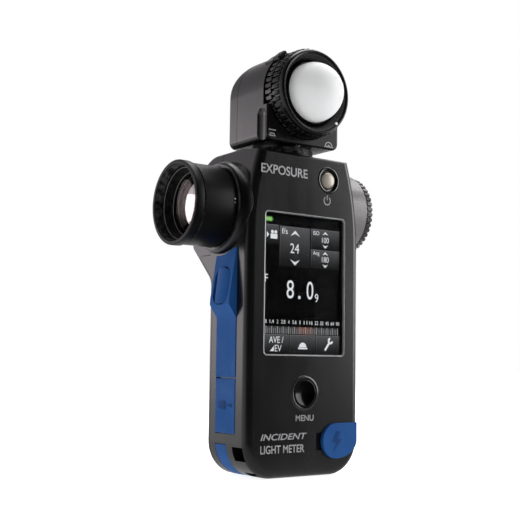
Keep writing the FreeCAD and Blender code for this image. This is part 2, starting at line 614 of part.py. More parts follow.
ph = box(-17.5, 17.5, -3.8, 17.6, 97.6, 123.4)
ph = ph.cut(box(-16.3, 16.3, -2.6, 16.4, 98.8, 122.2))
ph = ph.cut(cyl(9.6, (-20, FIN_Y, OBJ_Z), (1, 0, 0), 4)).cut(cyl(8.6, (15, FIN_Y, EYE_Z), (1, 0, 0), 5))
ph = ph.cut(cyl(2.6, (-6, 15, OBJ_Z), (0, 1, 0), 5))
save("prism_housing", ph)
prism = yz_prism([(-2.5, 99.2), (16.2, 99.2), (16.2, 121.6), (-2.5, 121.6)], [0.4] * 4, -14.0, 14.0)
prism = prism.cut(xz_prism([(-14.5, 99), (-14.5, 108), (-6, 99)], [0, 0, 0], -5, 20))
prism = prism.cut(xz_prism([(14.5, 122), (14.5, 113), (6, 122)], [0, 0, 0], -5, 20))
prism = prism.cut(xz_prism([(-14.5, 122), (-14.5, 118.6), (-11, 122)], [0, 0, 0], -5, 20))
prism = prism.cut(xz_prism([(14.5, 99), (14.5, 102.6), (11, 99)], [0, 0, 0], -5, 20))
save("finder_prism", prism)
spot = cyl(2.5, (-6, 16.5, OBJ_Z), (0, 1, 0), 2.6).fuse(box(-10, -2, 17.7, 19.1, OBJ_Z - 4, OBJ_Z + 4))
save("spot_sensor", spot.removeSplitter())

# ---------------------------------------------------------------- finder, eyepiece side
ef = rev_x([(20.0, 10.6), (20.0, EYE_COLLAR_R), (EYE_COLLAR_X - 0.6, EYE_COLLAR_R), (EYE_COLLAR_X, EYE_COLLAR_R - 0.6),
            (EYE_COLLAR_X, 14.0), (31.7, 14.0), (31.7, 10.6)], FIN_Y, EYE_Z)
ef = ef.cut(CASE)
ef = max(ef.Solids, key=lambda q: q.Volume)
save("eyepiece_flange", ef)
eb = rev_x([(18.2, 9.3), (18.2, 10.5), (38.6, 10.5), (38.6, 9.3)], FIN_Y, EYE_Z)
save("eyepiece_barrel", eb)
N_DIO = 44
prof = gear_edges(N_DIO, DIOPTRE_R, DIOPTRE_R - 0.8, 0.55,
                  lambda r, a: V(36.5, FIN_Y + r * math.cos(a), EYE_Z + r * math.sin(a)))
dr = Part.Face(prof).extrude(V(3.2, 0, 0))
dr = dr.fuse(rev_x([(32.0, 0), (32.0, 13.0), (32.5, 13.4), (41.2, 13.4), (41.2, 0)], FIN_Y, EYE_Z))
dr = dr.cut(cyl(10.8, (30, FIN_Y, EYE_Z), (1, 0, 0), 14)).cut(cyl(11.6, (39.2, FIN_Y, EYE_Z), (1, 0, 0), 5))
save("dioptre_ring", dr.removeSplitter())
ec = rev_x([(39.25, 9.6), (39.25, 11.55), (41.25, 11.55), (41.25, 13.2), (41.7, 13.2), (EYE_X, 12.4), (EYE_X, 10.4), (41.4, 9.2)],
           FIN_Y, EYE_Z)
save("eyecup", ec)
cellt = rev_x([(24.0, 7.6), (24.0, 9.15), (35.5, 9.15), (35.5, 7.6), (34.5, 7.6), (34.5, 8.05), (32.5, 8.05), (32.5, 7.6)],
              FIN_Y, EYE_Z)
save("eyepiece_lens_cell", cellt)
save("eyepiece_lens", lens_x(32.65, 34.35, 8.0, 0.9, 0.9, EYE_Z))

# ---------------------------------------------------------------- neck and head
nc = tube(13.0, 9.45, (0, NECK_Y, 129.0), (0, 0, 1), 6.6).cut(CASE)
nc = max(nc.Solids, key=lambda q: q.Volume)
save("neck_collar", nc)
save("swivel_washer", tube(11.6, 9.45, (0, NECK_Y, 128.85), (0, 0, 1), 0.6))
shaft = rev_z([(127.1, 6.6), (127.1, 11.4), (128.6, 11.4), (128.6, 9.05), (136.25, 9.05), (136.25, 6.6)], 0, NECK_Y)
save("swivel_shaft", shaft)


def head_outline(i, y0, y1, zb=HEAD_Z0):
    r = HEAD_HALF - i
    zc = RING_Z
    c = 3.0

    def p(x, z):
        return V(x, y0, z)
    es = [Part.LineSegment(p(-r + c, zb), p(r - c, zb)).toShape(),
          Part.Arc(p(r - c, zb), p(r - c + c * math.sin(math.pi / 4), zb + c - c * math.cos(math.pi / 4)), p(r, zb + c)).toShape(),
          Part.LineSegment(p(r, zb + c), p(r, zc)).toShape(),
          Part.Arc(p(r, zc), p(0, zc + r), p(-r, zc)).toShape(),
          Part.LineSegment(p(-r, zc), p(-r, zb + c)).toShape(),
          Part.Arc(p(-r, zb + c), p(-r + c - c * math.sin(math.pi / 4), zb + c - c * math.cos(math.pi / 4)), p(-r + c, zb)).toShape()]
    return Part.Face(Part.Wire(es)).extrude(V(0, y1 - y0, 0))


HY0, HY1 = -10.5, 16.6
head_side = [(HY0, HEAD_Z0 - 1), (HY1, HEAD_Z0 - 1), (HY1, 180), (HY0, 180)]
head = head_outline(0, HY0, HY1).common(yz_prism(head_side, [0, 0, 19.0, 0], -30, 30))
try:
    es = [e for e in head.Edges if e.BoundBox.YMax < HY0 + 1e-3 and e.BoundBox.ZMax < RING_Z + 0.01 and e.BoundBox.XLength < 0.01]
    head = head.makeFillet(0.8, es)
except Exception as ex:
    print("head fillet", ex)
inner = head_outline(1.6, 2.2 + 1.6, HY1 - 1.6, HEAD_Z0 + 1.8).common(
    yz_prism([(HY0, HEAD_Z0 - 1), (HY1 - 1.6, HEAD_Z0 - 1), (HY1 - 1.6, 178.4), (HY0, 178.4)], [0, 0, 17.4, 0], -30, 30))
head_s = head.cut(inner)
# pocket for the retracting ring, and the tunnel for the dome carrier
head_s = head_s.cut(cyl(RING_R + 0.35, (0, -30, RING_Z), (0, 1, 0), 30 + POCKET_Y))
head_s = head_s.cut(cyl(SLEEVE_R + 0.35, (0, -30, RING_Z), (0, 1, 0), 32.2))
head_s = head_s.cut(cyl(14.2, (0, -5, RING_Z), (0, 1, 0), 12))
# above the ears nothing of the block stands in front of the pocket's rim
head_s = head_s.cut(box(-30, 30, -30, POCKET_Y, EAR_Z, 190))
# concave scoops down both flanks
for sx in (-1, 1):
    head_s = head_s.cut(cyl(4.2, (sx * 21.9, -6.6, HEAD_Z0 - 1), (0, 0, 1), 147.0 - HEAD_Z0 + 1).fuse(
        Part.makeSphere(4.2, V(sx * 21.9, -6.6, 147.0))))
# raised pad behind the ring's tab
TAB_A = 130.0
pad = box(-2.6, 2.6, -7.5, -2.0, 18.5, 19.55)
pad.rotate(V(0, 0, 0), V(0, 1, 0), -(TAB_A - 90))
pad.translate(V(0, 0, RING_Z))
head_s = head_s.fuse(pad)
# hole for the neck
head_s = head_s.cut(cyl(6.4, (0, NECK_Y, 134), (0, 0, 1), 5))
Y_HSEAM = 11.0
hfront = head_s.common(box(-30, 30, -30, Y_HSEAM - 0.08, 130, 190))
hrear = head_s.common(box(-30, 30, Y_HSEAM + 0.08, 30, 130, 190))
HSCREWS = [(-15.2, 141.5), (15.2, 141.5)]
for (x, z) in HSCREWS:
    hfront = hfront.fuse(cyl(2.7, (x, 3.3, z), (0, 1, 0), Y_HSEAM - 0.08 - 3.5))
    hfront = hfront.cut(cyl(0.85, (x, 4.5, z), (0, 1, 0), 10))
    hrear = hrear.cut(cyl(1.1, (x, 10, z), (0, 1, 0), 10)).cut(cyl(1.9, (x, 15.6, z), (0, 1, 0), 3))
hfront = max(hfront.removeSplitter().Solids, key=lambda q: q.Volume)
hrear = max(hrear.removeSplitter().Solids, key=lambda q: q.Volume)
save("head_housing", hfront)
save("head_rear_cover", hrear)
hs = []
for (x, z) in HSCREWS:
    s = cyl(0.82, (x, 6.0, z), (0, 1, 0), 9.7).fuse(cyl(1.75, (x, 15.62, z), (0, 1, 0), 0.9))
    s = s.cut(box(x - 1.1, x + 1.1, 16.1, 17, z - 0.2, z + 0.2)).cut(box(x - 0.2, x + 0.2, 16.1, 17, z - 1.1, z + 1.1))
    hs.append(s.removeSplitter().Solids[0])
save("head_screws", Part.makeCompound(hs))
save("sensor_board", cyl(12.0, (0, 10.0, RING_Z), (0, 1, 0), 1.2))
save("light_sensor", cyl(3.4, (0, 8.0, RING_Z), (0, 1, 0), 1.95))

# retracting ring
ring = rev_y([(1.9, 13.8), (1.9, SLEEVE_R), (-12.2, SLEEVE_R), (-12.2, 17.1), (-12.8, 17.1), (-12.8, SLEEVE_R), (-16.9, SLEEVE_R),
              (-16.9, 18.4), (-17.6, 18.0), (-18.6, 17.6), (-19.0, 17.2), (-19.0, 16.3), (-18.4, 15.6), (-14.6, 13.3),
              (-12.0, 13.3), (-12.0, 13.8)], 0, RING_Z)
N_RIB = 44
for (ya, yb) in ((-12.2, -8.1), (-16.9, -12.8)):
    prof = gear_edges(N_RIB, RING_R, 17.5, 0.6, lambda r, a: V(r * math.cos(a), ya, RING_Z + r * math.sin(a)))
    g = Part.Face(prof).extrude(V(0, yb - ya, 0)).cut(cyl(17.2, (0, -30, RING_Z), (0, 1, 0), 50))
    ring = ring.fuse(g)
save("retracting_ring", ring.removeSplitter())
ta = math.radians(TAB_A)
tab = box(-2.6, 2.6, -12.0, -7.95, RING_R + 0.02, RING_R + 1.6)
tab.rotate(V(0, 0, 0), V(0, 1, 0), -(math.degrees(ta) - 90))
tab.translate(V(0, 0, RING_Z))
save("ring_tab", tab)

car = rev_y([(-3.0, 11.0), (-3.0, 13.0), (-15.9, 13.0), (-16.5, 12.75), (-16.5, 12.45), (-15.3, 12.45), (-15.3, 11.0)], 0, RING_Z)
save("dome_carrier", car)


def dome_shape():
    def P(y, r):
        return V(0, y, RING_Z + r)
    ro, ri = DOME_R, DOME_R - 1.3
    k = math.sqrt(0.5)
    es = [Part.Arc(P(DOME_Y - ro, 0), P(DOME_Y - ro * k, ro * k), P(DOME_Y, ro)).toShape(),
          Part.LineSegment(P(DOME_Y, ro), P(-15.35, ro)).toShape(),
          Part.LineSegment(P(-15.35, ro), P(-15.35, ri)).toShape(),
          Part.LineSegment(P(-15.35, ri), P(DOME_Y, ri)).toShape(),
          Part.Arc(P(DOME_Y, ri), P(DOME_Y - ri * k, ri * k), P(DOME_Y - ri, 0)).toShape(),
          Part.LineSegment(P(DOME_Y - ri, 0), P(DOME_Y - ro, 0)).toShape()]
    return Part.Face(Part.Wire(es)).revolve(V(0, 0, RING_Z), V(0, 1, 0), 360)


save("dome", dome_shape())
pins = []
for a in (90, 210, 330):
    c, s = math.cos(math.radians(a)), math.sin(math.radians(a))
    pins.append(Part.makeCylinder(0.7, 0.55, V(13.05 * c, -5.0, RING_Z + 13.05 * s), V(c, 0, s)))
save("cam_pins", Part.makeCompound(pins))
print(len(SAVED), "parts")
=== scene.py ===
import math
import random

import bmesh
import bpy
from mathutils import Matrix, Vector


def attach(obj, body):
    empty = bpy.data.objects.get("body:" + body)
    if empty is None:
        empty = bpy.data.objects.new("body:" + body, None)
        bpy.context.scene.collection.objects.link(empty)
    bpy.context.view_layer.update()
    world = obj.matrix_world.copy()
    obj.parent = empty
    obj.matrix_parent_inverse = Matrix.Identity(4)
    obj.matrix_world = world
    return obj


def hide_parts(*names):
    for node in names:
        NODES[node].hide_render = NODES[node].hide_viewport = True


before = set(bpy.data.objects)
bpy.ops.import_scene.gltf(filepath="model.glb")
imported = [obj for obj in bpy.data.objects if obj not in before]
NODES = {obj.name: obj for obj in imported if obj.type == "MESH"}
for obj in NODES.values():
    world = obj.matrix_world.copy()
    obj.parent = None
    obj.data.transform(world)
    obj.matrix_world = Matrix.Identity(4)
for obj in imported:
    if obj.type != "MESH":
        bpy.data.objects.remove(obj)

random.seed(7)
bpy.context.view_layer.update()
MM = 0.001
SC = bpy.context.scene

# ------------------------------------------------------------------ camera
CAM_POS = (-252.25, -327.03, 47.27)
CAM_AZ, CAM_PITCH, CAM_ROLL = math.radians(-36.08), math.radians(5.72), math.radians(0.81)
cam_data = bpy.data.cameras.new("camera")
cam_data.lens = 68.1
cam_data.sensor_width = 36.0
cam_data.clip_start = 0.02
cam_data.clip_end = 20
cam = bpy.data.objects.new("camera", cam_data)
SC.collection.objects.link(cam)
fwd = Vector((-math.sin(CAM_AZ) * math.cos(CAM_PITCH), math.cos(CAM_AZ) * math.cos(CAM_PITCH), math.sin(CAM_PITCH)))
right0 = Vector((math.cos(CAM_AZ), math.sin(CAM_AZ), 0))
up0 = right0.cross(fwd)
rgt = right0 * math.cos(CAM_ROLL) + up0 * math.sin(CAM_ROLL)
upv = -right0 * math.sin(CAM_ROLL) + up0 * math.cos(CAM_ROLL)
m = Matrix((rgt, upv, -fwd)).transposed().to_4x4()
m.translation = Vector(CAM_POS) * MM
cam.matrix_world = m
SC.camera = cam
SC.view_settings.view_transform = "Standard"


# ------------------------------------------------------------------ materials
class Mat:
    """A small node-tree writer."""

    def __init__(self, name):
        self.m = bpy.data.materials.new(name)
        self.m.use_nodes = True
        self.t = self.m.node_tree
        self.b = self.t.nodes["Principled BSDF"]
        self.out = self.t.nodes["Material Output"]
        tc = self.t.nodes.new("ShaderNodeTexCoord")
        self.obj = tc.outputs["Object"]

    def n(self, kind, **kw):
        node = self.t.nodes.new(kind)
        for k, v in kw.items():
            if k.startswith("_"):
                setattr(node, k[1:], v)
            else:
                node.inputs[k.replace("__", " ")].default_value = v
        return node

    def l(self, a, b):
        self.t.links.new(a, b)

    def noise(self, scale, detail=3.0, rough=0.55, coord=None, stretch=None):
        nz = self.n("ShaderNodeTexNoise", Scale=scale, Detail=detail, Roughness=rough)
        src = coord or self.obj
        if stretch:
            mp = self.n("ShaderNodeMapping")
            mp.inputs["Scale"].default_value = stretch
            self.l(src, mp.inputs["Vector"])
            src = mp.outputs["Vector"]
        self.l(src, nz.inputs["Vector"])
        return nz.outputs["Fac"]

    def ramp(self, fac, stops):
        r = self.n("ShaderNodeValToRGB")
        e = r.color_ramp.elements
        e[0].position, e[0].color = stops[0][0], (*stops[0][1], 1)
        e[1].position, e[1].color = stops[-1][0], (*stops[-1][1], 1)
        for p, c in stops[1:-1]:
            k = e.new(p)
            k.color = (*c, 1)
        self.l(fac, r.inputs["Fac"])
        return r.outputs["Color"]

    def rng(self, fac, a, b, lo=0.0, hi=1.0):
        r = self.n("ShaderNodeMapRange")
        r.inputs["From Min"].default_value = lo
        r.inputs["From Max"].default_value = hi
        r.inputs["To Min"].default_value = a
        r.inputs["To Max"].default_value = b
        self.l(fac, r.inputs["Value"])
        return r.outputs["Result"]

    def math(self, op, a, b):
        k = self.n("ShaderNodeMath", _operation=op)
        for i, v in enumerate((a, b)):
            if isinstance(v, (int, float)):
                k.inputs[i].default_value = v
            else:
                self.l(v, k.inputs[i])
        return k.outputs[0]

    def mix(self, fac, a, b):
        k = self.n("ShaderNodeMix", _data_type="RGBA")
        if isinstance(fac, (int, float)):
            k.inputs["Factor"].default_value = fac
        else:
            self.l(fac, k.inputs["Factor"])
        for sock, v in ((k.inputs[6], a), (k.inputs[7], b)):
            if isinstance(v, tuple):
                sock.default_value = (*v, 1)
            else:
                self.l(v, sock)
        return k.outputs[2]

    def bump(self, heights, strength=0.3, dist=0.0001):
        """heights: list of (fac, distance in m)."""
        prev = None
        for fac, d in heights:
            bp = self.n("ShaderNodeBump")
            bp.inputs["Strength"].default_value = strength
            bp.inputs["Distance"].default_value = d
            self.l(fac, bp.inputs["Height"])
            if prev is not None:
                self.l(prev, bp.inputs["Normal"])
            prev = bp.outputs["Normal"]
        self.l(prev, self.b.inputs["Normal"])

    def edge(self, radius=0.0004, gain=6.0):
        """A mask that is 1 along convex and concave edges."""
        bv = self.n("ShaderNodeBevel", _samples=4)
        bv.inputs["Radius"].default_value = radius
        geo = self.n("ShaderNodeNewGeometry")
        dp = self.n("ShaderNodeVectorMath", _operation="DOT_PRODUCT")
        self.l(bv.outputs["Normal"], dp.inputs[0])
        self.l(geo.outputs["Normal"], dp.inputs[1])
        inv = self.math("SUBTRACT", 1.0, dp.outputs["Value"])
        return self.math("MINIMUM", self.math("MULTIPLY", inv, gain), 1.0)

    def done(self, rough, metallic=0.0, spec=0.5, coat=0.0, coat_rough=0.1, sheen=0.0, ior=1.5):
        b = self.b
        if isinstance(rough, (int, float)):
            b.inputs["Roughness"].default_value = rough
        else:
            self.l(rough, b.inputs["Roughness"])
        b.inputs["Metallic"].default_value = metallic
        b.inputs["Specular IOR Level"].default_value = spec
        b.inputs["Coat Weight"].default_value = coat
        b.inputs["Coat Roughness"].default_value = coat_rough
        b.inputs["Sheen Weight"].default_value = sheen
        b.inputs["IOR"].default_value = ior
        return self.m

    def color(self, c):
        if isinstance(c, tuple):
            self.b.inputs["Base Color"].default_value = (*c, 1)
        else:
            self.l(c, self.b.inputs["Base Color"])


def plastic(name, dark, light, rough=(0.42, 0.55), grain=2600.0, grain_d=0.00003, edge_wear_and_highlight=0.35, edge_wear_and_highlight_col=(0.10, 0.10, 0.11),
            spec=0.5, coat=0.0, coat_rough=0.2, sheen=0.0):
    """Moulded plastic: mottled colour, spark-eroded grain, handling marks, and edges lightened partly as wear and
    partly as a painted highlight.
    """
    k = Mat(name)
    big = k.noise(55.0, 4.0, 0.6)
    fine = k.noise(grain, 2.0, 0.5)
    mid = k.noise(grain * 0.22, 3.0, 0.6)
    base = k.ramp(big, [(0.30, dark), (0.72, light)])
    speck = k.rng(k.noise(grain * 0.5, 1.0, 0.5), 0.0, 1.0, 0.62, 0.80)
    base = k.mix(k.math("MULTIPLY", speck, 0.22), base, tuple(min(1.0, c * 2.2) for c in light))
    # Edges are lightened along the bevel mask: partly wear, partly a painted edge highlight.
    e = k.math("MULTIPLY", k.edge(0.00045, 5.0), k.rng(k.noise(420.0, 4.0, 0.7), 0.0, edge_wear_and_highlight, 0.42, 0.66))
    base = k.mix(e, base, edge_wear_and_highlight_col)
    k.color(base)
    smear = k.noise(38.0, 5.0, 0.65, stretch=(1.0, 1.0, 0.35))
    r = k.rng(smear, rough[0], rough[1], 0.35, 0.68)
    r = k.math("SUBTRACT", r, k.math("MULTIPLY", e, 0.12))
    k.bump([(mid, grain_d * 0.8), (fine, grain_d)], 0.55)
    return k.done(r, 0.0, spec, coat, coat_rough, sheen)


def rubber(name, dark, light, grain=1800.0, rough=(0.60, 0.78)):
    k = Mat(name)
    big = k.noise(70.0, 4.0, 0.6)
    fine = k.noise(grain, 2.0, 0.5)
    dust = k.rng(k.noise(900.0, 3.0, 0.7), 0.0, 0.25, 0.60, 0.78)
    base = k.ramp(big, [(0.30, dark), (0.70, light)])
    base = k.mix(dust, base, tuple(min(1.0, c * 1.25 + 0.012) for c in light))
    e = k.math("MULTIPLY", k.edge(0.0005, 4.0), 0.28)
    base = k.mix(e, base, tuple(min(1.0, c * 1.6 + 0.015) for c in light))
    k.color(base)
    r = k.rng(k.noise(120.0, 4.0, 0.6), rough[0], rough[1], 0.35, 0.65)
    k.bump([(k.noise(grain * 0.3, 3.0, 0.6), 0.00003), (fine, 0.000025)], 0.5)
    return k.done(r, 0.0, 0.14, 0.0, 0.2, 0.02)


def metal(name, c0, c1, rough=(0.25, 0.4), metallic=1.0, brush=(1.0, 1.0, 30.0), scale=500.0, spec=0.5, coat=0.0):
    k = Mat(name)
    br = k.noise(scale, 4.0, 0.6, stretch=brush)
    pat = k.noise(90.0, 4.0, 0.6)
    k.color(k.ramp(k.math("ADD", k.math("MULTIPLY", br, 0.5), k.math("MULTIPLY", pat, 0.5)), [(0.35, c0), (0.65, c1)]))
    r = k.rng(k.math("ADD", k.math("MULTIPLY", br, 0.6), k.math("MULTIPLY", pat, 0.4)), rough[0], rough[1], 0.35, 0.65)
    k.bump([(br, 0.00001), (k.noise(2400.0, 2.0, 0.5), 0.000008)], 0.4)
    return k.done(r, metallic, spec, coat, 0.15)


M = {}
# The lightened edge colours in the finishes below are partly wear and partly painted edge highlight.
M["case"] = plastic("case_plastic", (0.0040, 0.0039, 0.0046), (0.0060, 0.0058, 0.0068), rough=(0.20, 0.28), grain=2400.0, grain_d=0.000005,
                    edge_wear_and_highlight_col=(0.10, 0.098, 0.104), spec=0.42)
M["case_head"] = plastic("head_plastic", (0.0040, 0.0038, 0.0044), (0.0062, 0.0058, 0.0066), rough=(0.21, 0.29), grain=2600.0, grain_d=0.000005,
                         edge_wear_and_highlight_col=(0.10, 0.098, 0.104), spec=0.45)
M["inner_plastic"] = plastic("inner_plastic", (0.012, 0.012, 0.012), (0.02, 0.02, 0.02), rough=(0.5, 0.65))
M["metal_black"] = plastic("anodised_black", (0.0012, 0.0012, 0.0015), (0.0020, 0.0020, 0.0024), rough=(0.26, 0.36), grain=3600.0,
                           grain_d=0.000015, edge_wear_and_highlight=0.6, edge_wear_and_highlight_col=(0.16, 0.16, 0.17), spec=0.42)
M["gloss_black"] = plastic("gloss_black", (0.0018, 0.0018, 0.0022), (0.003, 0.003, 0.0035), rough=(0.10, 0.18), grain=1500.0,
                           grain_d=0.000006, edge_wear_and_highlight=0.3, coat=0.6, coat_rough=0.06)
M["blue"] = rubber("blue_rubber", (0.010, 0.070, 0.240), (0.013, 0.083, 0.280))
M["black_rubber"] = rubber("black_rubber", (0.010, 0.010, 0.011), (0.018, 0.018, 0.019))
M["steel"] = metal("plated_steel", (0.50, 0.50, 0.51), (0.66, 0.66, 0.67), (0.22, 0.36))
M["screw"] = metal("blackened_steel", (0.07, 0.07, 0.075), (0.13, 0.13, 0.135), (0.28, 0.42), metallic=0.8)
M["pcb"] = plastic("solder_mask", (0.008, 0.060, 0.028), (0.014, 0.090, 0.040), rough=(0.25, 0.4), grain=900.0, edge_wear_and_highlight=0.1)
M["alloy"] = metal("champagne_alloy", (0.36, 0.325, 0.275), (0.45, 0.41, 0.35), (0.30, 0.42), metallic=0.35, brush=(1, 1, 1), scale=1600.0)
M["bezel"] = metal("bezel_line", (0.26, 0.26, 0.27), (0.36, 0.36, 0.37), (0.24, 0.34), metallic=0.6)
M["label"] = plastic("cell_sleeve", (0.02, 0.02, 0.02), (0.40, 0.28, 0.06), rough=(0.2, 0.35), grain=600.0)

M["display_black"] = plastic("display_black", (0.0004, 0.0004, 0.0006), (0.0009, 0.0009, 0.0012), rough=(0.30, 0.42), grain=2200.0, grain_d=0.000003,
                             edge_wear_and_highlight=0.1, spec=0.08)
M["carrier"] = plastic("carrier_plastic", (0.006, 0.006, 0.0065), (0.010, 0.010, 0.011), rough=(0.35, 0.5), grain=2200.0, grain_d=0.00001)
M["ring_black"] = plastic("ring_black", (0.0028, 0.0027, 0.0029), (0.0045, 0.0043, 0.0046), rough=(0.20, 0.28), grain=3000.0, grain_d=0.000006,
                          edge_wear_and_highlight=0.45, edge_wear_and_highlight_col=(0.14, 0.14, 0.15), spec=0.36)
M["lens_metal"] = plastic("lens_metal", (0.0022, 0.0022, 0.0026), (0.0036, 0.0036, 0.0042), rough=(0.36, 0.46), grain=3600.0, grain_d=0.000004,
                          edge_wear_and_highlight=0.6, edge_wear_and_highlight_col=(0.26, 0.26, 0.27), spec=0.12)
# Dark grey on the black dioptre ring: painted light, a lighter copy of the black metal for the light its ribs catch
# from the right.
M["eyepiece_painted_light"] = plastic("eyepiece_painted_light", (0.050, 0.048, 0.050), (0.075, 0.072, 0.075), rough=(0.26, 0.36), grain=3200.0, grain_d=0.000012,
                              edge_wear_and_highlight=0.45, edge_wear_and_highlight_col=(0.34, 0.33, 0.34), spec=0.6)
# Light grey on the black eyepiece collar: painted light, standing in for the light the collar catches from the right.
M["collar_painted_light"] = plastic("collar_painted_light", (0.185, 0.174, 0.179), (0.240, 0.226, 0.232), rough=(0.30, 0.40), grain=3200.0, grain_d=0.00001,
                            edge_wear_and_highlight=0.45, edge_wear_and_highlight_col=(0.40, 0.39, 0.40), spec=0.6)
M["baffle"] = plastic("baffle_black", (0.0004, 0.0004, 0.0005), (0.0008, 0.0008, 0.0010), rough=(0.42, 0.55), grain=2600.0, grain_d=0.00001,
                      edge_wear_and_highlight=0.35, edge_wear_and_highlight_col=(0.10, 0.10, 0.105), spec=0.12)
M["case_ribbed"] = plastic("case_ribbed", (0.009, 0.009, 0.010), (0.013, 0.013, 0.014), rough=(0.38, 0.5), grain=2400.0)
M["blue_dark"] = rubber("blue_rubber_sign", (0.005, 0.040, 0.150), (0.008, 0.052, 0.190))
M["bezel_dark"] = plastic("surround_black", (0.016, 0.016, 0.017), (0.024, 0.024, 0.025), rough=(0.12, 0.20), grain=2400.0, grain_d=0.000008,
                          edge_wear_and_highlight=0.5, edge_wear_and_highlight_col=(0.22, 0.22, 0.23), spec=0.7)
M["menu_black"] = plastic("menu_gloss", (0.0003, 0.0003, 0.0004), (0.0007, 0.0007, 0.0008), rough=(0.08, 0.14), grain=1200.0, grain_d=0.000004,
                          edge_wear_and_highlight=0.55, edge_wear_and_highlight_col=(0.30, 0.30, 0.30), spec=0.2)
M["paint_white"] = plastic("paint_white", (0.72, 0.72, 0.72), (0.82, 0.82, 0.82), rough=(0.4, 0.55), grain=1800.0, grain_d=0.000006, edge_wear_and_highlight=0.2,
                           edge_wear_and_highlight_col=(0.5, 0.5, 0.5))
M["paint_grey"] = plastic("paint_grey", (0.28, 0.28, 0.29), (0.38, 0.38, 0.39), rough=(0.4, 0.55), grain=1800.0, grain_d=0.000006, edge_wear_and_highlight=0.2,
                          edge_wear_and_highlight_col=(0.2, 0.2, 0.2))

NODE_MATS = {
    "case": ["front_shell", "rear_shell", "finder_housing", "battery_cover", "latch_slider"],
    "case_head": ["head_housing", "head_rear_cover"],
    "inner_plastic": ["battery_tray", "prism_housing", "tact_switches", "spot_sensor", "light_sensor", "dome_carrier"],
    "display_black": ["lcd_module"],
    "metal_black": ["objective_flange", "objective_barrel", "objective_front_ring", "objective_hood", "lens_retainer", "eyepiece_flange",
                    "eyepiece_barrel", "dioptre_ring", "retracting_ring", "ring_tab", "eyepiece_lens_cell", "neck_collar"],
    "blue": ["left_grip_strip", "right_grip_strip", "corner_guard", "measuring_button", "memory_button", "usb_cover", "sync_cap", "sync_tether"],
    "black_rubber": ["eyecup"],
    "gloss_black": ["menu_button", "menu_bezel", "power_bezel", "touch_glass"],
    "bezel": ["screen_bezel"],
    "alloy": ["power_button"],
    "pcb": ["main_board", "sensor_board"],
    "screw": ["case_screws", "head_screws"],
    "steel": ["tripod_bush", "battery_hinge_pin", "battery_contacts", "usb_socket", "sync_socket",
              "swivel_shaft", "swivel_washer", "cam_pins"],
    "label": ["batteries"],
}


def glass_mat(name, tint, rough=0.02, ior=1.52):
    k = Mat(name)
    k.color(k.ramp(k.noise(60.0, 3.0), [(0.3, tint), (0.7, tuple(min(1, c * 1.02) for c in tint))]))
    k.b.inputs["Transmission Weight"].default_value = 1.0
    r = k.rng(k.noise(300.0, 4.0, 0.6), rough, rough + 0.03, 0.4, 0.7)
    k.bump([(k.noise(40.0, 2.0), 0.00001)], 0.15)
    return k.done(r, 0.0, 0.5, 0.0, 0.1, 0.0, ior)


M["optic"] = glass_mat("optic_glass", (0.93, 0.90, 0.95))
M["pane"] = glass_mat("touch_pane", (0.97, 0.98, 0.985), 0.01, 1.5)
M["pane"].node_tree.nodes["Principled BSDF"].inputs["Specular IOR Level"].default_value = 0.2
M["coated"] = glass_mat("coated_glass", (0.78, 0.70, 0.695), 0.01, 1.8)
M["coated"].node_tree.nodes["Principled BSDF"].inputs["Metallic"].default_value = 0.35


def lit(name, strength, tint=None):
    """A lit element of the display, with the panel's cell structure showing in it."""
    k2 = Mat(name)
    k2.color(k2.ramp(k2.noise(300.0, 2.0), [(0.3, (0.004, 0.004, 0.005)), (0.7, (0.007, 0.007, 0.008))]))
    cell = k2.n("ShaderNodeTexChecker", Scale=9000.0)
    k2.l(k2.obj, cell.inputs["Vector"])
    if tint is None:
        at = k2.n("ShaderNodeAttribute", _attribute_name="shade")
        src = at.outputs["Color"]
    else:
        src = k2.ramp(k2.noise(900.0, 2.0), [(0.2, tuple(q * 0.9 for q in tint)), (0.8, tint)])
    col = k2.mix(k2.rng(cell.outputs["Fac"], 0.0, 0.06), src, (0.0, 0.0, 0.0))
    k2.l(col, k2.b.inputs["Emission Color"])
    k2.b.inputs["Emission Strength"].default_value = strength
    k2.bump([(k2.noise(3000.0, 1.0), 0.000002)], 0.1)
    return k2.done(k2.rng(k2.noise(200.0, 3.0), 0.3, 0.4), 0.0, 0.08)


M["ui_shade"] = lit("ui_shade", 1.0)
M["ui_white"] = lit("ui_white", 1.0, (0.86, 0.88, 0.90))
M["ui_grey"] = lit("ui_grey", 1.0, (0.42, 0.42, 0.43))
M["ui_green"] = lit("ui_green", 1.0, (0.10, 0.30, 0.06))
M["ui_lime"] = lit("ui_lime", 1.0, (0.42, 0.80, 0.25))


def dome_mat():
    k = Mat("milky_dome")
    k.color(k.ramp(k.noise(45.0, 4.0, 0.6), [(0.3, (0.86, 0.86, 0.85)), (0.7, (0.92, 0.92, 0.92))]))
    b = k.b
    b.inputs["Subsurface Weight"].default_value = 0.8
    b.inputs["Subsurface Radius"].default_value = (1.0, 0.95, 0.9)
    b.inputs["Subsurface Scale"].default_value = 0.007
    # The emission is painted light: a faint glow standing in for light passing through the milky shell.
    b.inputs["Emission Color"].default_value = (1.0, 0.995, 0.99, 1.0)
    b.inputs["Emission Strength"].default_value = 0.13
    k.bump([(k.noise(1500.0, 2.0), 0.000008)], 0.3)
    return k.done(k.rng(k.noise(200.0, 3.0), 0.42, 0.55, 0.4, 0.6), 0.0, 0.4)


M["dome"] = dome_mat()
NODE_MATS["optic"] = ["objective_lens", "eyepiece_lens", "finder_prism"]
NODE_MATS["dome"] = ["dome"]
for key, names in NODE_MATS.items():
    for nm in names:
        o = NODES[nm]
        o.data.materials.clear()
        o.data.materials.append(M[key])
missing = set(NODES) - set(n for v in NODE_MATS.values() for n in v)
if missing:
    print("nodes with no finish:", sorted(missing))

# ------------------------------------------------------------------ geometry helpers (millimetres in, metres out)
FIN_Y, OBJ_Z, EYE_Z = 6.7, 108.8, 111.9
RING_Z, NECK_Y = 157.4, 4.0


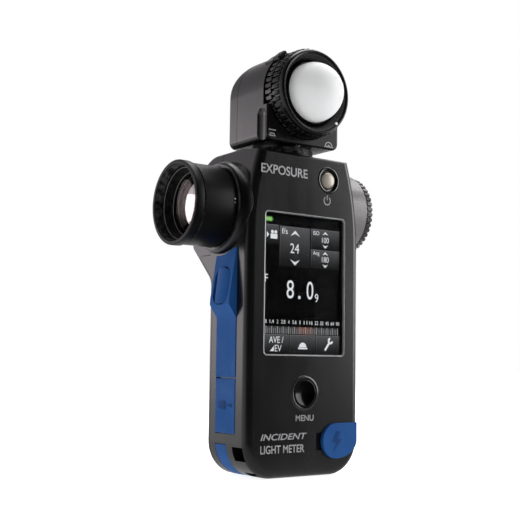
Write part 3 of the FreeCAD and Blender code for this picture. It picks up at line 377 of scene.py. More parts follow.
def fillet(pts, radii, n=4):
    """Closed 2-D outline with its corners rounded."""
    out = []
    m = len(pts)
    for i in range(m):
        p, a, b = Vector(pts[i]), Vector(pts[i - 1]), Vector(pts[(i + 1) % m])
        r = radii[i] if isinstance(radii, (list, tuple)) else radii
        if r <= 0:
            out.append(tuple(p))
            continue
        u, w = (a - p).normalized(), (b - p).normalized()
        ang = math.acos(max(-1, min(1, u.dot(w))))
        if ang > math.radians(172):
            out.append(tuple(p))
            continue
        t = min(r / math.tan(ang / 2), (a - p).length * 0.48, (b - p).length * 0.48)
        r = t * math.tan(ang / 2)
        c = p + (u + w).normalized() * (r / math.sin(ang / 2))
        s, e = p + u * t - c, p + w * t - c
        a0 = math.atan2(s.y, s.x)
        d = (math.atan2(e.y, e.x) - a0 + math.pi) % (2 * math.pi) - math.pi
        for k in range(n + 1):
            th = a0 + d * k / n
            out.append((c.x + r * math.cos(th), c.y + r * math.sin(th)))
    return out


def finish_mesh(name, bm, mat, body, smooth=32, replaces=(), slot=None):
    bmesh.ops.recalc_face_normals(bm, faces=bm.faces)
    me = bpy.data.meshes.new(name)
    bm.to_mesh(me)
    bm.free()
    me.shade_smooth()
    me.set_sharp_from_angle(angle=math.radians(smooth))
    o = bpy.data.objects.new(name, me)
    SC.collection.objects.link(o)
    for mt in (mat if isinstance(mat, (list, tuple)) else [mat]):
        me.materials.append(mt)
    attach(o, body)
    if replaces:
        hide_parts(*replaces)
    return o


def place(axis, c, t, r, a):
    if axis == "X":
        return Vector((t, c[0] + r * math.cos(a), c[1] + r * math.sin(a))) * MM
    if axis == "Y":
        return Vector((c[0] + r * math.cos(a), t, c[1] + r * math.sin(a))) * MM
    return Vector((c[0] + r * math.cos(a), c[1] + r * math.sin(a), t)) * MM


def lathe_bm(bm, axis, c, prof, seg=160, rmod=None, a0=0.0):
    rings = []
    for i, (t, r) in enumerate(prof):
        if r < 1e-6:
            rings.append([bm.verts.new(place(axis, c, t, 0, 0))])
        else:
            rings.append([bm.verts.new(place(axis, c, t, r if rmod is None else rmod(i, t, r, a0 + 2 * math.pi * j / seg),
                                             a0 + 2 * math.pi * j / seg)) for j in range(seg)])
    n = len(prof)
    for i in range(n):
        a, b = rings[i], rings[(i + 1) % n]
        if len(a) == 1 and len(b) == 1:
            continue
        for j in range(seg):
            k2 = (j + 1) % seg
            if len(a) == 1:
                bm.faces.new((a[0], b[k2], b[j]))
            elif len(b) == 1:
                bm.faces.new((a[j], a[k2], b[0]))
            else:
                bm.faces.new((a[j], a[k2], b[k2], b[j]))


def lathe(name, axis, c, prof, mat, body, seg=160, rmod=None, **kw):
    bm = bmesh.new()
    lathe_bm(bm, axis, c, prof, seg, rmod)
    return finish_mesh(name, bm, mat, body, **kw)


def prism_bm(bm, pts, to3, d0, d1):
    """Extrudes a closed 2-D outline; to3(u, v, d) gives a point in mm."""
    lo = [bm.verts.new(to3(u, v, d0) * MM) for u, v in pts]
    hi = [bm.verts.new(to3(u, v, d1) * MM) for u, v in pts]
    n = len(pts)
    f0, f1 = bm.faces.new(lo), bm.faces.new(hi[::-1])
    for i in range(n):
        bm.faces.new((lo[i], hi[i], hi[(i + 1) % n], lo[(i + 1) % n]))
    return f0, f1


def on_front(u, v, d):
    """(x, z) on a plane that faces forward, d is y."""
    return Vector((u, d, v))


def on_left(u, v, d):
    """(y, z) on a plane that faces left, d is x."""
    return Vector((d, u, v))


def bake(o):
    """Puts the modifiers' result into the mesh."""
    dg = bpy.context.evaluated_depsgraph_get()
    me = bpy.data.meshes.new_from_object(o.evaluated_get(dg))
    o.modifiers.clear()
    o.data = me
    return o


def bevelled(o, width, seg=3, angle=28.0, weighted=True):
    bv = o.modifiers.new("bevel", "BEVEL")
    bv.width = width * MM
    bv.segments = seg
    bv.limit_method = "ANGLE"
    bv.angle_limit = math.radians(angle)
    bv.use_clamp_overlap = True
    bv.miter_outer = "MITER_ARC"
    if weighted:
        w = o.modifiers.new("weighted", "WEIGHTED_NORMAL")
        w.keep_sharp = True
    return bake(o)


def from_cad(name, node, mat, body, width=0.2, seg=3, angle=28.0, smooth=40, dissolve=1.0, edit=None):
    """A piece that starts from the frame's own shape, with its edges rounded."""
    bm = bmesh.new()
    bm.from_mesh(NODES[node].data)
    for lay in list(bm.loops.layers.uv):
        bm.loops.layers.uv.remove(lay)
    bmesh.ops.remove_doubles(bm, verts=bm.verts, dist=2e-6)
    bmesh.ops.dissolve_limit(bm, angle_limit=math.radians(dissolve), verts=bm.verts, edges=bm.edges)
    if edit:
        edit(bm)
    me = bpy.data.meshes.new(name)
    bm.to_mesh(me)
    bm.free()
    for a in list(me.attributes):
        if a.name in ("custom_normal", "sharp_face", "sharp_edge"):
            me.attributes.remove(a)
    me.materials.clear()
    for mt in (mat if isinstance(mat, (list, tuple)) else [mat]):
        me.materials.append(mt)
    me.shade_smooth()
    o = bpy.data.objects.new(name, me)
    SC.collection.objects.link(o)
    if width > 0:
        bevelled(o, width, seg, angle, weighted=False)
    o.data.set_sharp_from_angle(angle=math.radians(smooth))
    w = o.modifiers.new("weighted", "WEIGHTED_NORMAL")
    w.keep_sharp = True
    bake(o)
    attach(o, body)
    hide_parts(node)
    return o


def glyph_bm(bm, items, y, depth, to3=on_front):
    """Lettering fitted to boxes: (text, u0, u1, v0, v1[, shear])."""
    for it in items:
        text, u0, u1, v0, v1 = it[:5]
        shear = it[5] if len(it) > 5 else 0.0
        cu = bpy.data.curves.new("t", "FONT")
        cu.body = text
        cu.size = 10.0
        cu.extrude = 0.5
        cu.offset = 0.14 if depth == 0.035 else 0.0
        cu.resolution_u = 6
        ob = bpy.data.objects.new("t", cu)
        SC.collection.objects.link(ob)
        bpy.context.view_layer.update()
        me = bpy.data.meshes.new_from_object(ob.evaluated_get(bpy.context.evaluated_depsgraph_get()))
        xs = [v.co.x for v in me.vertices]
        ys = [v.co.y for v in me.vertices]
        x0, x1, y0, y1 = min(xs), max(xs), min(ys), max(ys)
        for v in me.vertices:
            fv = (v.co.y - y0) / (y1 - y0)
            u = u0 + (v.co.x - x0) / (x1 - x0) * (u1 - u0 - shear) + shear * fv
            w = v0 + fv * (v1 - v0)
            d = y + (0.0 if v.co.z < 0 else -depth)
            v.co = to3(u, w, d) * MM
        bm.from_mesh(me)
        bpy.data.objects.remove(ob)
        bpy.data.meshes.remove(me)
        bpy.data.curves.remove(cu)
    bmesh.ops.remove_doubles(bm, verts=bm.verts, dist=1e-7)


def sector(cx, cz, r0, r1, a0, a1, n=24):
    """Outline of a ring sector, degrees."""
    o = [(cx + r1 * math.cos(math.radians(a0 + (a1 - a0) * k / n)), cz + r1 * math.sin(math.radians(a0 + (a1 - a0) * k / n))) for k in range(n + 1)]
    i = [(cx + r0 * math.cos(math.radians(a1 + (a0 - a1) * k / n)), cz + r0 * math.sin(math.radians(a1 + (a0 - a1) * k / n))) for k in range(n + 1)]
    return o + i


def disc(cx, cz, r, n=24):
    return [(cx + r * math.cos(2 * math.pi * k / n), cz + r * math.sin(2 * math.pi * k / n)) for k in range(n)]


def bar(x0, z0, x1, z1, w):
    d = Vector((x1 - x0, z1 - z0)).normalized() * (w / 2)
    nx, nz = -d.y, d.x
    return [(x0 + nx, z0 + nz), (x1 + nx, z1 + nz), (x1 - nx, z1 - nz), (x0 - nx, z0 - nz)]


# ------------------------------------------------------------------ incident head
RIBS = 44


def rib_wave(a, n, duty=0.62, soft=0.10):
    """1 on a land, 0 in a groove, with ramps between."""
    f = (a * n / (2 * math.pi)) % 1.0
    lo = (1 - duty) / 2
    d = min(abs(f - 0.0), abs(1 - f))
    x = (d - lo * 0.55) / soft
    x = max(0.0, min(1.0, x))
    return x * x * (3 - 2 * x)


# (y, radius, row of lands that the point belongs to)
ring_pts = [(1.9, 14.0, ""), (1.9, 17.35, ""), (1.65, 17.58, ""), (-7.7, 17.58, ""), (-7.95, 17.66, ""),
            (-8.1, 18.42, "A"), (-8.3, 18.6, "A"), (-11.85, 18.6, "A"), (-12.08, 18.42, "A"), (-12.2, 17.6, ""),
            (-12.38, 17.3, ""), (-12.62, 17.3, ""), (-12.8, 17.6, ""), (-12.92, 18.42, "B"), (-13.12, 18.6, "B"), (-16.35, 18.55, "B"),
            (-16.65, 18.4, "B"), (-16.8, 18.02, ""), (-17.2, 17.95, ""), (-17.8, 17.85, ""), (-18.35, 17.68, ""), (-18.75, 17.42, ""),
            (-18.95, 17.12, ""), (-19.0, 16.85, ""), (-18.95, 16.5, ""), (-18.75, 16.1, ""), (-18.3, 15.65, ""),
            (-17.7, 15.25, ""), (-17.55, 15.3, ""), (-17.4, 15.05, ""), (-16.9, 14.75, ""), (-16.75, 14.8, ""), (-16.6, 14.55, ""),
            (-16.1, 14.25, ""), (-15.95, 14.3, ""), (-15.8, 14.05, ""), (-15.2, 13.7, ""), (-14.8, 13.42, ""), (-14.5, 13.3, ""),
            (-12.2, 13.3, ""), (-12.0, 13.5, ""), (-12.0, 14.0, "")]
ring_prof = [(t, r) for t, r, w in ring_pts]


def ring_r(i, t, r, a):
    row = ring_pts[i][2]
    if row == "A":
        return 17.62 + (r - 17.62) * rib_wave(a, RIBS, 0.66)
    if row == "B":
        return 17.62 + (r - 17.62) * rib_wave(a + math.pi / RIBS, RIBS, 0.66)
    return r


lathe("dome_ring_shell", "Y", (0, RING_Z), ring_prof, M["ring_black"], "dome_ring", seg=RIBS * 12, rmod=ring_r,
      smooth=34, replaces=("retracting_ring",), slot="metal_black")


from_cad("ring_tab_grip", "ring_tab", M["ring_black"], "dome_ring", width=0.28, seg=3)
bm = bmesh.new()
ta = math.radians(130)
for q in range(3):
    yc = -11.3 + q * 1.3
    u = Vector((-math.sin(ta), 0, math.cos(ta)))
    rad = Vector((math.cos(ta), 0, math.sin(ta)))
    base = Vector((0, 0, RING_Z)) + rad * 20.1
    pts = []
    for (du, dr) in ((-2.25, 0.0), (2.25, 0.0), (2.05, 0.32), (-2.05, 0.32)):
        pts.append(base + u * du + rad * dr)
    lo = [bm.verts.new((p + Vector((0, yc - 0.34, 0))) * MM) for p in pts]
    hi = [bm.verts.new((p + Vector((0, yc + 0.34, 0))) * MM) for p in pts]
    bm.faces.new(lo)
    bm.faces.new(hi[::-1])
    for i in range(4):
        bm.faces.new((lo[i], hi[i], hi[(i + 1) % 4], lo[(i + 1) % 4]))
finish_mesh("ring_tab_ridges", bm, M["ring_black"], "dome_ring", slot="metal_black")

# white index dot let into the ring's lip
bm = bmesh.new()
dx, dz = 10.75, 145.78 - RING_Z
dv = Vector((dx, 0, dz)).normalized()
rr = 16.15
lathe_bm(bm, "Y", (dv.x * rr, RING_Z + dv.z * rr), [(-18.2, 0), (-18.2, 0.62), (-18.93, 0.62), (-19.0, 0.5), (-19.0, 0)], 24)
finish_mesh("ring_index_dot", bm, M["paint_white"], "dome_ring", slot="dome_white")

# carrier with its fine stepped lip
car = [(-3.0, 11.2), (-3.0, 12.9), (-3.15, 13.0), (-14.6, 13.0), (-14.75, 12.85), (-15.0, 12.85), (-15.15, 13.0), (-15.9, 13.0), (-16.3, 12.95), (-16.5, 12.8),
       (-16.5, 12.5), (-16.35, 12.45), (-15.3, 12.45), (-15.3, 11.2)]
lathe("carrier_sleeve", "Y", (0, RING_Z), car, M["carrier"], "dome_slide", seg=128, replaces=("dome_carrier",), slot="carrier_black")

DR, DY = 12.37, -17.2
dome = []
NA = 30
for k in range(NA + 1):
    a = math.pi / 2 * k / NA
    dome.append((DY - DR * math.cos(a), DR * math.sin(a)))
dome += [(-16.4, DR), (-15.5, DR), (-15.35, DR - 0.15), (-15.35, DR - 1.15), (-15.5, DR - 1.3), (DY, DR - 1.3)]
for k in range(NA - 1, -1, -1):
    a = math.pi / 2 * k / NA
    dome.append((DY - (DR - 1.3) * math.cos(a), (DR - 1.3) * math.sin(a)))
lathe("dome_shell", "Y", (0, RING_Z), dome, M["dome"], "dome_slide", seg=96, replaces=("dome",), slot="dome_white")

# marks on the ears of the head block
bm = bmesh.new()
YE = -10.5
for pts in (sector(13.75, 137.6, 1.55, 2.05, 0, 180, 18), bar(11.35, 137.45, 16.15, 137.45, 0.5), sector(13.75, 137.6, 0.0001, 0.75, 0, 180, 10)):
    prism_bm(bm, pts, on_front, YE + 0.02, YE - 0.03)
for pts in (bar(-18.0, 138.05, -18.0 + 3.4, 138.05, 0.42), bar(-17.4, 139.0, -15.2, 139.0, 0.38), bar(-17.4, 138.05, -17.4, 139.1, 0.38),
            bar(-15.2, 138.05, -15.2, 139.1, 0.38), bar(-18.1, 140.45, -14.5, 140.45, 0.42)):
    prism_bm(bm, pts, on_front, YE + 0.02, YE - 0.03)
finish_mesh("head_marks", bm, M["paint_grey"], "head", slot="dome_white")

from_cad("head_screw_set", "head_screws", M["screw"], "head", width=0.06, seg=2, angle=40)
from_cad("head_back", "head_rear_cover", M["case_head"], "head", width=0.14, seg=2, angle=35)
from_cad("head_block", "head_housing", M["case_head"], "head", width=0.14, seg=2, angle=40)

# neck collar: a stack of fine grooves
prof = [(131.0, 9.5), (131.0, 13.0)]
z = 133.2
prof += [(133.0, 13.0)]
for q in range(3):
    prof += [(z, 13.0), (z + 0.12, 12.78), (z + 0.30, 12.78), (z + 0.42, 13.0)]
    z += 0.72
prof += [(135.35, 13.0), (135.58, 12.75), (135.58, 9.7), (135.45, 9.5)]
lathe("neck_stack", "Z", (0, NECK_Y), prof, M["lens_metal"], "case", seg=128, replaces=("neck_collar",), slot="case_black", smooth=30)

# ------------------------------------------------------------------ objective
c = (FIN_Y, OBJ_Z)
front = [(-51.94, 15.75), (-51.94, 16.75), (-51.86, 16.98), (-51.66, 17.14), (-51.4, 17.2), (-48.55, 17.2), (-48.3, 17.1), (-48.05, 16.85)]
front += [(-48.05, 15.3), (-48.2, 15.25)]
x = -48.45
while x > -51.2:
    front += [(x, 15.25), (x - 0.2, 15.55), (x - 0.28, 15.55), (x - 0.48, 15.25)]
    x -= 0.5
front += [(-51.5, 15.3), (-51.75, 15.5)]
lathe("objective_rim", "X", c, front, M["lens_metal"], "case", seg=192, replaces=("objective_front_ring",), slot="metal_black", smooth=30)
body_prof = [(-47.9, 14.9), (-47.9, 16.0), (-47.8, 16.1), (-47.5, 16.1), (-47.42, 16.45), (-47.25, 16.6), (-33.3, 16.6), (-33.02, 16.5), (-32.9, 16.3), (-32.9, 16.0),
             (-31.75, 16.0), (-31.75, 12.3), (-19.0, 12.3), (-19.0, 11.2), (-39.5, 11.2), (-39.5, 12.2), (-41.0, 12.2), (-41.0, 13.55), (-42.6, 13.55), (-42.6, 14.9)]
lathe("objective_tube", "X", c, body_prof, M["lens_metal"], "case", seg=192, replaces=("objective_barrel",), slot="metal_black", smooth=30)
cone = [(-47.85, 14.3), (-47.85, 14.82), (-44.5, 14.82), (-44.5, 12.95), (-44.6, 12.95)]
x, r = -44.7, 13.0
while x > -47.3:
    cone += [(x, r), (x - 0.42, r + 0.02), (x - 0.50, r + 0.22)]
    x -= 0.56
    r += 0.225
cone += [(-47.6, 14.22)]
lathe("objective_baffle", "X", c, cone, M["baffle"], "case", seg=160, replaces=("objective_hood",), slot="metal_black", smooth=30)
retain = [(-44.4, 13.05), (-44.2, 12.75), (-43.35, 12.75), (-43.2, 12.85), (-43.2, 14.82), (-44.4, 14.82)]
lathe("retainer_ring", "X", c, retain, M["baffle"], "case", seg=160, replaces=("lens_retainer",), slot="metal_black")


def lens_prof(x0, x1, r, b0, b1, n=18):
    out = []

    def sag(b, rr):
        R2 = (r * r + b * b) / (2 * b)
        return math.sqrt(max(R2 * R2 - rr * rr, 0)) - (R2 - b)
    for k2 in range(n + 1):
        rr = r * k2 / n
        out.append((x0 - sag(b0, rr), rr))
    out.append((x0 + 0.1, r))
    out.append((x1 - 0.1, r))
    for k2 in range(n, -1, -1):
        rr = r * k2 / n
        out.append((x1 + sag(b1, rr), rr))
    return out


lathe("objective_glass", "X", c, lens_prof(-42.8, -41.25, 13.5, 2.6, 0.9), M["coated"], "case", seg=128, replaces=("objective_lens",), slot="optic_glass")
lathe("eyepiece_glass", "X", (FIN_Y, EYE_Z), lens_prof(32.65, 34.35, 8.0, 0.9, 0.9), M["coated"], "eye_cell", seg=96, replaces=("eyepiece_lens",), slot="optic_glass")
# thin light-grey lips inside the rim: painted highlight rings
lathe("hood_highlight_ring", "X", c, [(-47.95, 14.32), (-47.98, 14.45), (-47.95, 14.58), (-47.7, 14.58), (-47.7, 14.32)], M["collar_painted_light"], "case", seg=160, slot="metal_black")
lathe("retainer_highlight_ring", "X", c, [(-44.48, 12.86), (-44.52, 12.95), (-44.48, 13.04), (-44.3, 13.04), (-44.3, 12.86)], M["collar_painted_light"], "case", seg=160, slot="metal_black")
# small marks on the tube
bm = bmesh.new()


def patch_x(bm2, x0, x1, a0, a1, r0, r1, cy, cz, n=6):
    """A small raised patch on a tube about X; angles in degrees from the top towards the front."""
    vs = []
    for rr2 in (r0, r1):
        for xx in (x0, x1):
            vs.append([bm2.verts.new(Vector((xx, cy - rr2 * math.sin(math.radians(a0 + (a1 - a0) * k2 / n)),
                                             cz + rr2 * math.cos(math.radians(a0 + (a1 - a0) * k2 / n)))) * MM) for k2 in range(n + 1)])
    for k2 in range(n):
        bm2.faces.new((vs[0][k2], vs[0][k2 + 1], vs[1][k2 + 1], vs[1][k2]))
        bm2.faces.new((vs[2][k2], vs[3][k2], vs[3][k2 + 1], vs[2][k2 + 1]))
        bm2.faces.new((vs[0][k2], vs[2][k2], vs[2][k2 + 1], vs[0][k2 + 1]))
        bm2.faces.new((vs[1][k2], vs[1][k2 + 1], vs[3][k2 + 1], vs[3][k2]))
    bm2.faces.new((vs[0][0], vs[1][0], vs[3][0], vs[2][0]))
    bm2.faces.new((vs[0][n], vs[2][n], vs[3][n], vs[1][n]))


patch_x(bm, -40.6, -38.6, 19.0, 23.0, 16.5, 16.63, FIN_Y, OBJ_Z)
finish_mesh("tube_slot_mark", bm, M["baffle"], "case", slot="metal_black")
bm = bmesh.new()
patch_x(bm, -33.9, -33.45, 84.6, 86.4, 16.5, 16.64, FIN_Y, OBJ_Z)
finish_mesh("tube_dot_a", bm, M["paint_white"], "case", slot="dome_white")
bm = bmesh.new()
patch_x(bm, -33.9, -33.45, 90.1, 91.6, 16.5, 16.64, FIN_Y, OBJ_Z)
finish_mesh("tube_dot_b", bm, M["paint_grey"], "case", slot="dome_white")

# ------------------------------------------------------------------ eyepiece
from_cad("eyepiece_collar", "eyepiece_flange", M["collar_painted_light"], "case", width=0.22, seg=3, angle=30)
N_DIO = 44
dio = [(32.0, 10.95), (32.0, 12.9), (32.2, 13.2), (32.6, 13.4), (36.4, 13.4), (36.5, 13.5), (36.5, 15.9), (36.6, 16.7), (36.85, 17.0), (39.35, 17.0), (39.6, 16.7),
       (39.7, 15.9), (39.7, 13.5), (39.85, 13.4), (41.0, 13.4), (41.2, 13.2), (41.2, 11.75), (41.05, 11.6), (39.2, 11.6), (39.2, 10.8), (32.15, 10.8)]


def dio_r(i, t, r, a):
    if 7 <= i <= 10:
        return 16.05 + (r - 16.05) * rib_wave(a, N_DIO, 0.58, 0.14)
    return r


lathe("dioptre_grip", "X", (FIN_Y, EYE_Z), dio, M["eyepiece_painted_light"], "dioptre", seg=N_DIO * 12, rmod=dio_r, replaces=("dioptre_ring",), slot="metal_black", smooth=34)
cup = [(39.25, 9.75), (39.25, 11.4), (39.4, 11.55), (41.1, 11.55), (41.25, 11.65), (41.25, 13.05), (41.35, 13.2), (41.6, 13.2), (41.9, 12.95), (42.2, 12.45), (42.2, 12.1),
       (42.0, 11.7), (42.05, 11.3), (42.2, 10.9), (42.2, 10.5), (41.9, 9.9), (41.5, 9.35), (41.2, 9.3), (39.4, 9.6)]
lathe("eyecup_ring", "X", (FIN_Y, EYE_Z), cup, M["black_rubber"], "dioptre", seg=128, replaces=("eyecup",), slot="black_rubber")
bm = bmesh.new()
for ang in (-24, 0, 24):
    patch_x(bm, 40.15, 40.75, ang - 1.2, ang + 1.2, 13.3, 13.47, FIN_Y, EYE_Z, 3)
finish_mesh("dioptre_marks", bm, M["paint_white"], "dioptre", slot="dome_white")

# ------------------------------------------------------------------ grips
from_cad("grip_left", "left_grip_strip", M["blue"], "case", width=0.32, seg=3, angle=24)
from_cad("grip_right", "right_grip_strip", M["blue"], "case", width=0.32, seg=3, angle=24)
from_cad("measure_pill", "measuring_button", M["blue"], "measure_key", width=0.55, seg=4, angle=30)
from_cad("memory_pill", "memory_button", M["blue"], "memory_key", width=0.55, seg=4, angle=30)
from_cad("port_flap", "usb_cover", M["blue"], "usb_flap", width=0.35, seg=3)
from_cad("sync_cover", "sync_cap", M["blue"], "sync_flap", width=0.42, seg=4)
from_cad("sync_strap", "sync_tether", M["blue"], "case", width=0.12, seg=2)
from_cad("corner_foot", "corner_guard", M["blue"], "case", width=0.16, seg=2)

# plug symbol, raised on the port flap
bm = bmesh.new()
X0, X1 = -29.3, -29.62


def left_prism(pts):
    prism_bm(bm, pts, on_left, X0, X1)


left_prism(bar(-2.6, 28.6, 1.2, 28.6, 0.55))
left_prism(fillet([(1.0, 26.9), (3.4, 26.9), (4.6, 27.8), (4.6, 29.4), (3.4, 30.3), (1.0, 30.3)], 0.4, 3))
left_prism(bar(4.5, 27.75, 6.3, 27.75, 0.5))
left_prism(bar(4.5, 29.45, 6.3, 29.45, 0.5))
left_prism(disc(-3.0, 28.6, 0.75, 16))
finish_mesh("port_symbol", bm, M["blue_dark"], "usb_flap", slot="blue_rubber")

# lightning symbol, raised on the sync cap
bm = bmesh.new()
bolt = [(15.9, 18.2), (18.0, 17.6), (16.9, 14.9), (19.0, 14.5), (14.3, 9.6), (15.6, 13.1), (13.6, 13.5)]
prism_bm(bm, bolt, on_front, -14.1, -14.27)
finish_mesh("sync_symbol", bm, M["blue_dark"], "sync_flap", slot="blue_rubber")

# ------------------------------------------------------------------ front buttons
pc = (11.7, 122.4)
bez = [(-10.9, 3.6), (-10.9, 5.74), (-12.75, 5.74), (-12.95, 5.7), (-13.1, 5.6), (-13.2, 5.42), (-13.25, 5.2), (-13.24, 4.95), (-13.15, 4.72), (-12.95, 4.35), (-12.7, 3.95),
       (-12.5, 3.7), (-12.35, 3.6)]
lathe("power_surround", "Y", pc, bez, M["gloss_black"], "case", seg=96, replaces=("power_bezel",), slot="gloss_black")
btn = [(-13.75, 0), (-13.74, 0.8), (-13.68, 1.6), (-13.57, 2.3), (-13.42, 2.75), (-13.2, 3.1), (-12.95, 3.3), (-12.6, 3.4), (-10.6, 3.4), (-10.6, 2.0), (-9.4, 2.0), (-9.4, 0)]
lathe("power_disc", "Y", pc, btn, M["alloy"], "power_key", seg=96, replaces=("power_button",), slot="button_alloy")
mc = (0.0, 33.55)
mbez = [(-10.9, 5.8), (-10.9, 7.18), (-12.8, 7.18), (-13.0, 7.12), (-13.15, 6.98), (-13.27, 6.75), (-13.33, 6.5), (-13.35, 6.25), (-13.3, 6.05), (-13.1, 5.9), (-12.8, 5.82)]
lathe("menu_surround", "Y", mc, mbez, M["bezel_dark"], "case", seg=112, replaces=("menu_bezel",), slot="gloss_black")
mbtn = [(-12.85, 0), (-12.87, 1.2), (-12.93, 2.4), (-13.05, 3.6), (-13.2, 4.4), (-13.33, 4.85), (-13.4, 5.1), (-13.36, 5.32), (-13.22, 5.5), (-13.0, 5.6), (-10.6, 5.6),
        (-10.6, 2.0), (-9.4, 2.0), (-9.4, 0)]
lathe("menu_disc", "Y", mc, mbtn, M["menu_black"], "menu_key", seg=112, replaces=("menu_button",), slot="gloss_black")

# ------------------------------------------------------------------ back
from_cad("battery_door_panel", "battery_cover", M["case"], "battery_door", width=0.22, seg=2, angle=35)
from_cad("battery_latch", "latch_slider", M["case_ribbed"], "door_latch", width=0.08, seg=2, angle=35)
from_cad("case_screw_set", "case_screws", M["screw"], "case", width=0.06, seg=2, angle=40)
bm = bmesh.new()
for q in range(3):
    z0 = 50.6 - q * 1.7
    pts = [(-3.2, z0 + 1.6), (0, z0), (3.2, z0 + 1.6), (3.2, z0 + 2.3), (0, z0 + 0.7), (-3.2, z0 + 2.3)]
    prism_bm(bm, pts, on_front, 14.98, 15.12)
glyph_bm(bm, [("OPEN", 4.4, -4.4, 41.2, 43.4)], 15.12, 0.14)
finish_mesh("door_marks", bm, M["case_ribbed"], "battery_door", slot="case_black")

# tripod bush with a cut thread
bush = [(0.0, 3.35), (0.0, 4.55), (0.2, 4.75), (7.2, 4.75), (7.2, 5.5), (8.6, 5.5), (8.6, 0), (7.0, 0)]
th = []
z = 6.8
while z > 0.6:
    th += [(z, 2.78), (z - 0.5, 3.1), (z - 0.62, 3.1), (z - 1.1, 2.78)]
    z -= 1.27
bush += [(7.0, 2.78)] + th + [(0.35, 3.0)]
lathe("tripod_thread", "Z", (0, 0), bush, M["steel"], "case", seg=96, replaces=("tripod_bush",), slot="steel", smooth=30)

# ------------------------------------------------------------------ screen
SX, SZ0, SZ1 = 21.2, 48.45, 106.75
bm = bmesh.new()
outer = fillet([(-SX, SZ0), (SX, SZ0), (SX, SZ1), (-SX, SZ1)], 1.95, 8)
rings = []
for (ins, yy) in ((0.0, -11.2), (0.0, -12.85), (0.06, -12.95), (0.36, -12.98), (0.52, -12.88), (0.6, -12.7), (0.6, -11.2)):
    o2 = fillet([(-SX + ins, SZ0 + ins), (SX - ins, SZ0 + ins), (SX - ins, SZ1 - ins), (-SX + ins, SZ1 - ins)], max(1.95 - ins, 0.4), 8)
    rings.append([bm.verts.new(Vector((u, yy, v)) * MM) for u, v in o2])
for i in range(len(rings)):
    a, b = rings[i], rings[(i + 1) % len(rings)]
    n = len(a)
    for j in range(n):
        bm.faces.new((a[j], a[(j + 1) % n], b[(j + 1) % n], b[j]))
finish_mesh("screen_trim", bm, M["bezel"], "case", replaces=("screen_bezel",), slot="bezel_grey", smooth=40)
from_cad("touch_pane", "touch_glass", M["pane"], "case", width=0.12, seg=2)

UY = -10.74      # the lit layer, just in front of the panel's recess floor


def shade_mesh(name, quads, y, mat, body="case"):
    """Lit tiles: quads is a list of (x0, x1, z0, z1, colour at the foot, colour at the head)."""
    bm2 = bmesh.new()
    lay = bm2.verts.layers.float_color.new("shade")
    for (x0, x1, z0, z1, c0, c1) in quads:
        nz = 6
        cols = []
        for kz in range(nz + 1):
            f = kz / nz
            z2 = z0 + (z1 - z0) * f
            g = f ** 1.6
            col = [c0[q] + (c1[q] - c0[q]) * g for q in range(3)] + [1.0]
            row = []
            for xx in (x0, x1):
                for yy in (y, y - 0.02):
                    v = bm2.verts.new(Vector((xx, yy, z2)) * MM)
                    v[lay] = col
                    row.append(v)
            cols.append(row)
        for kz in range(nz):
            a, b = cols[kz], cols[kz + 1]
            bm2.faces.new((a[1], a[3], b[3], b[1]))
            bm2.faces.new((a[0], b[0], b[2], a[2]))
            bm2.faces.new((a[0], a[1], b[1], b[0]))
            bm2.faces.new((a[2], b[2], b[3], a[3]))
        bm2.faces.new((cols[0][0], cols[0][2], cols[0][3], cols[0][1]))
        bm2.faces.new((cols[nz][0], cols[nz][1], cols[nz][3], cols[nz][2]))
    return finish_mesh(name, bm2, mat, body, slot="display")


def grey(v):
    return (v, v, v * 1.04)


LO, HI = grey(0.006), grey(0.085)
tiles = []


def tile(x0, x1, z0, z1, lo=LO, hi=HI):
    tiles.append((x0, x1, z0, z1, lo, hi))
    tiles.append((x0, x1, z1 - 0.02, z1 + 0.16, grey(0.16), grey(0.22)))
    tiles.append((x0 - 0.16, x0 + 0.02, z0, z1 + 0.16, grey(0.05), grey(0.22)))


tile(-20.0, -12.9, 93.4, 101.2)
tile(-12.1, 3.4, 84.7, 101.0, grey(0.005), grey(0.095))
tile(4.2, 19.4, 93.3, 101.2)
tile(4.2, 19.4, 84.9, 92.6)
tile(-19.9, -6.9, 49.3, 56.9)
tile(-6.4, 6.8, 49.3, 56.9)
tile(7.3, 19.7, 49.3, 56.9)
shade_mesh("screen_tiles", tiles, UY, M["ui_shade"])

# scale bar: a dim gradient field with ticks
field = []
for i in range(40):
    x0 = -18.9 + i * 0.948
    t = (x0 + 0.47 - 1.2) / 3.2
    w = math.exp(-t * t)
    field.append((x0, x0 + 0.94, 57.35, 60.25, (0.030 + 0.10 * w, 0.030 + 0.012 * w, 0.030), (0.055 + 0.16 * w, 0.055 + 0.03 * w, 0.055)))
shade_mesh("screen_scale_field", field, UY, M["ui_shade"])
bm = bmesh.new()
for i in range(14 * 3 - 2):
    xx = -18.75 + i * (37.5 / 39)
    big = i % 3 == 0
    prism_bm(bm, bar(xx, 57.4, xx, 60.3 if big else 59.6, 0.28 if big else 0.14), on_front, UY - 0.03, UY - 0.05)
finish_mesh("screen_ticks", bm, M["ui_grey"], "case", slot="display")

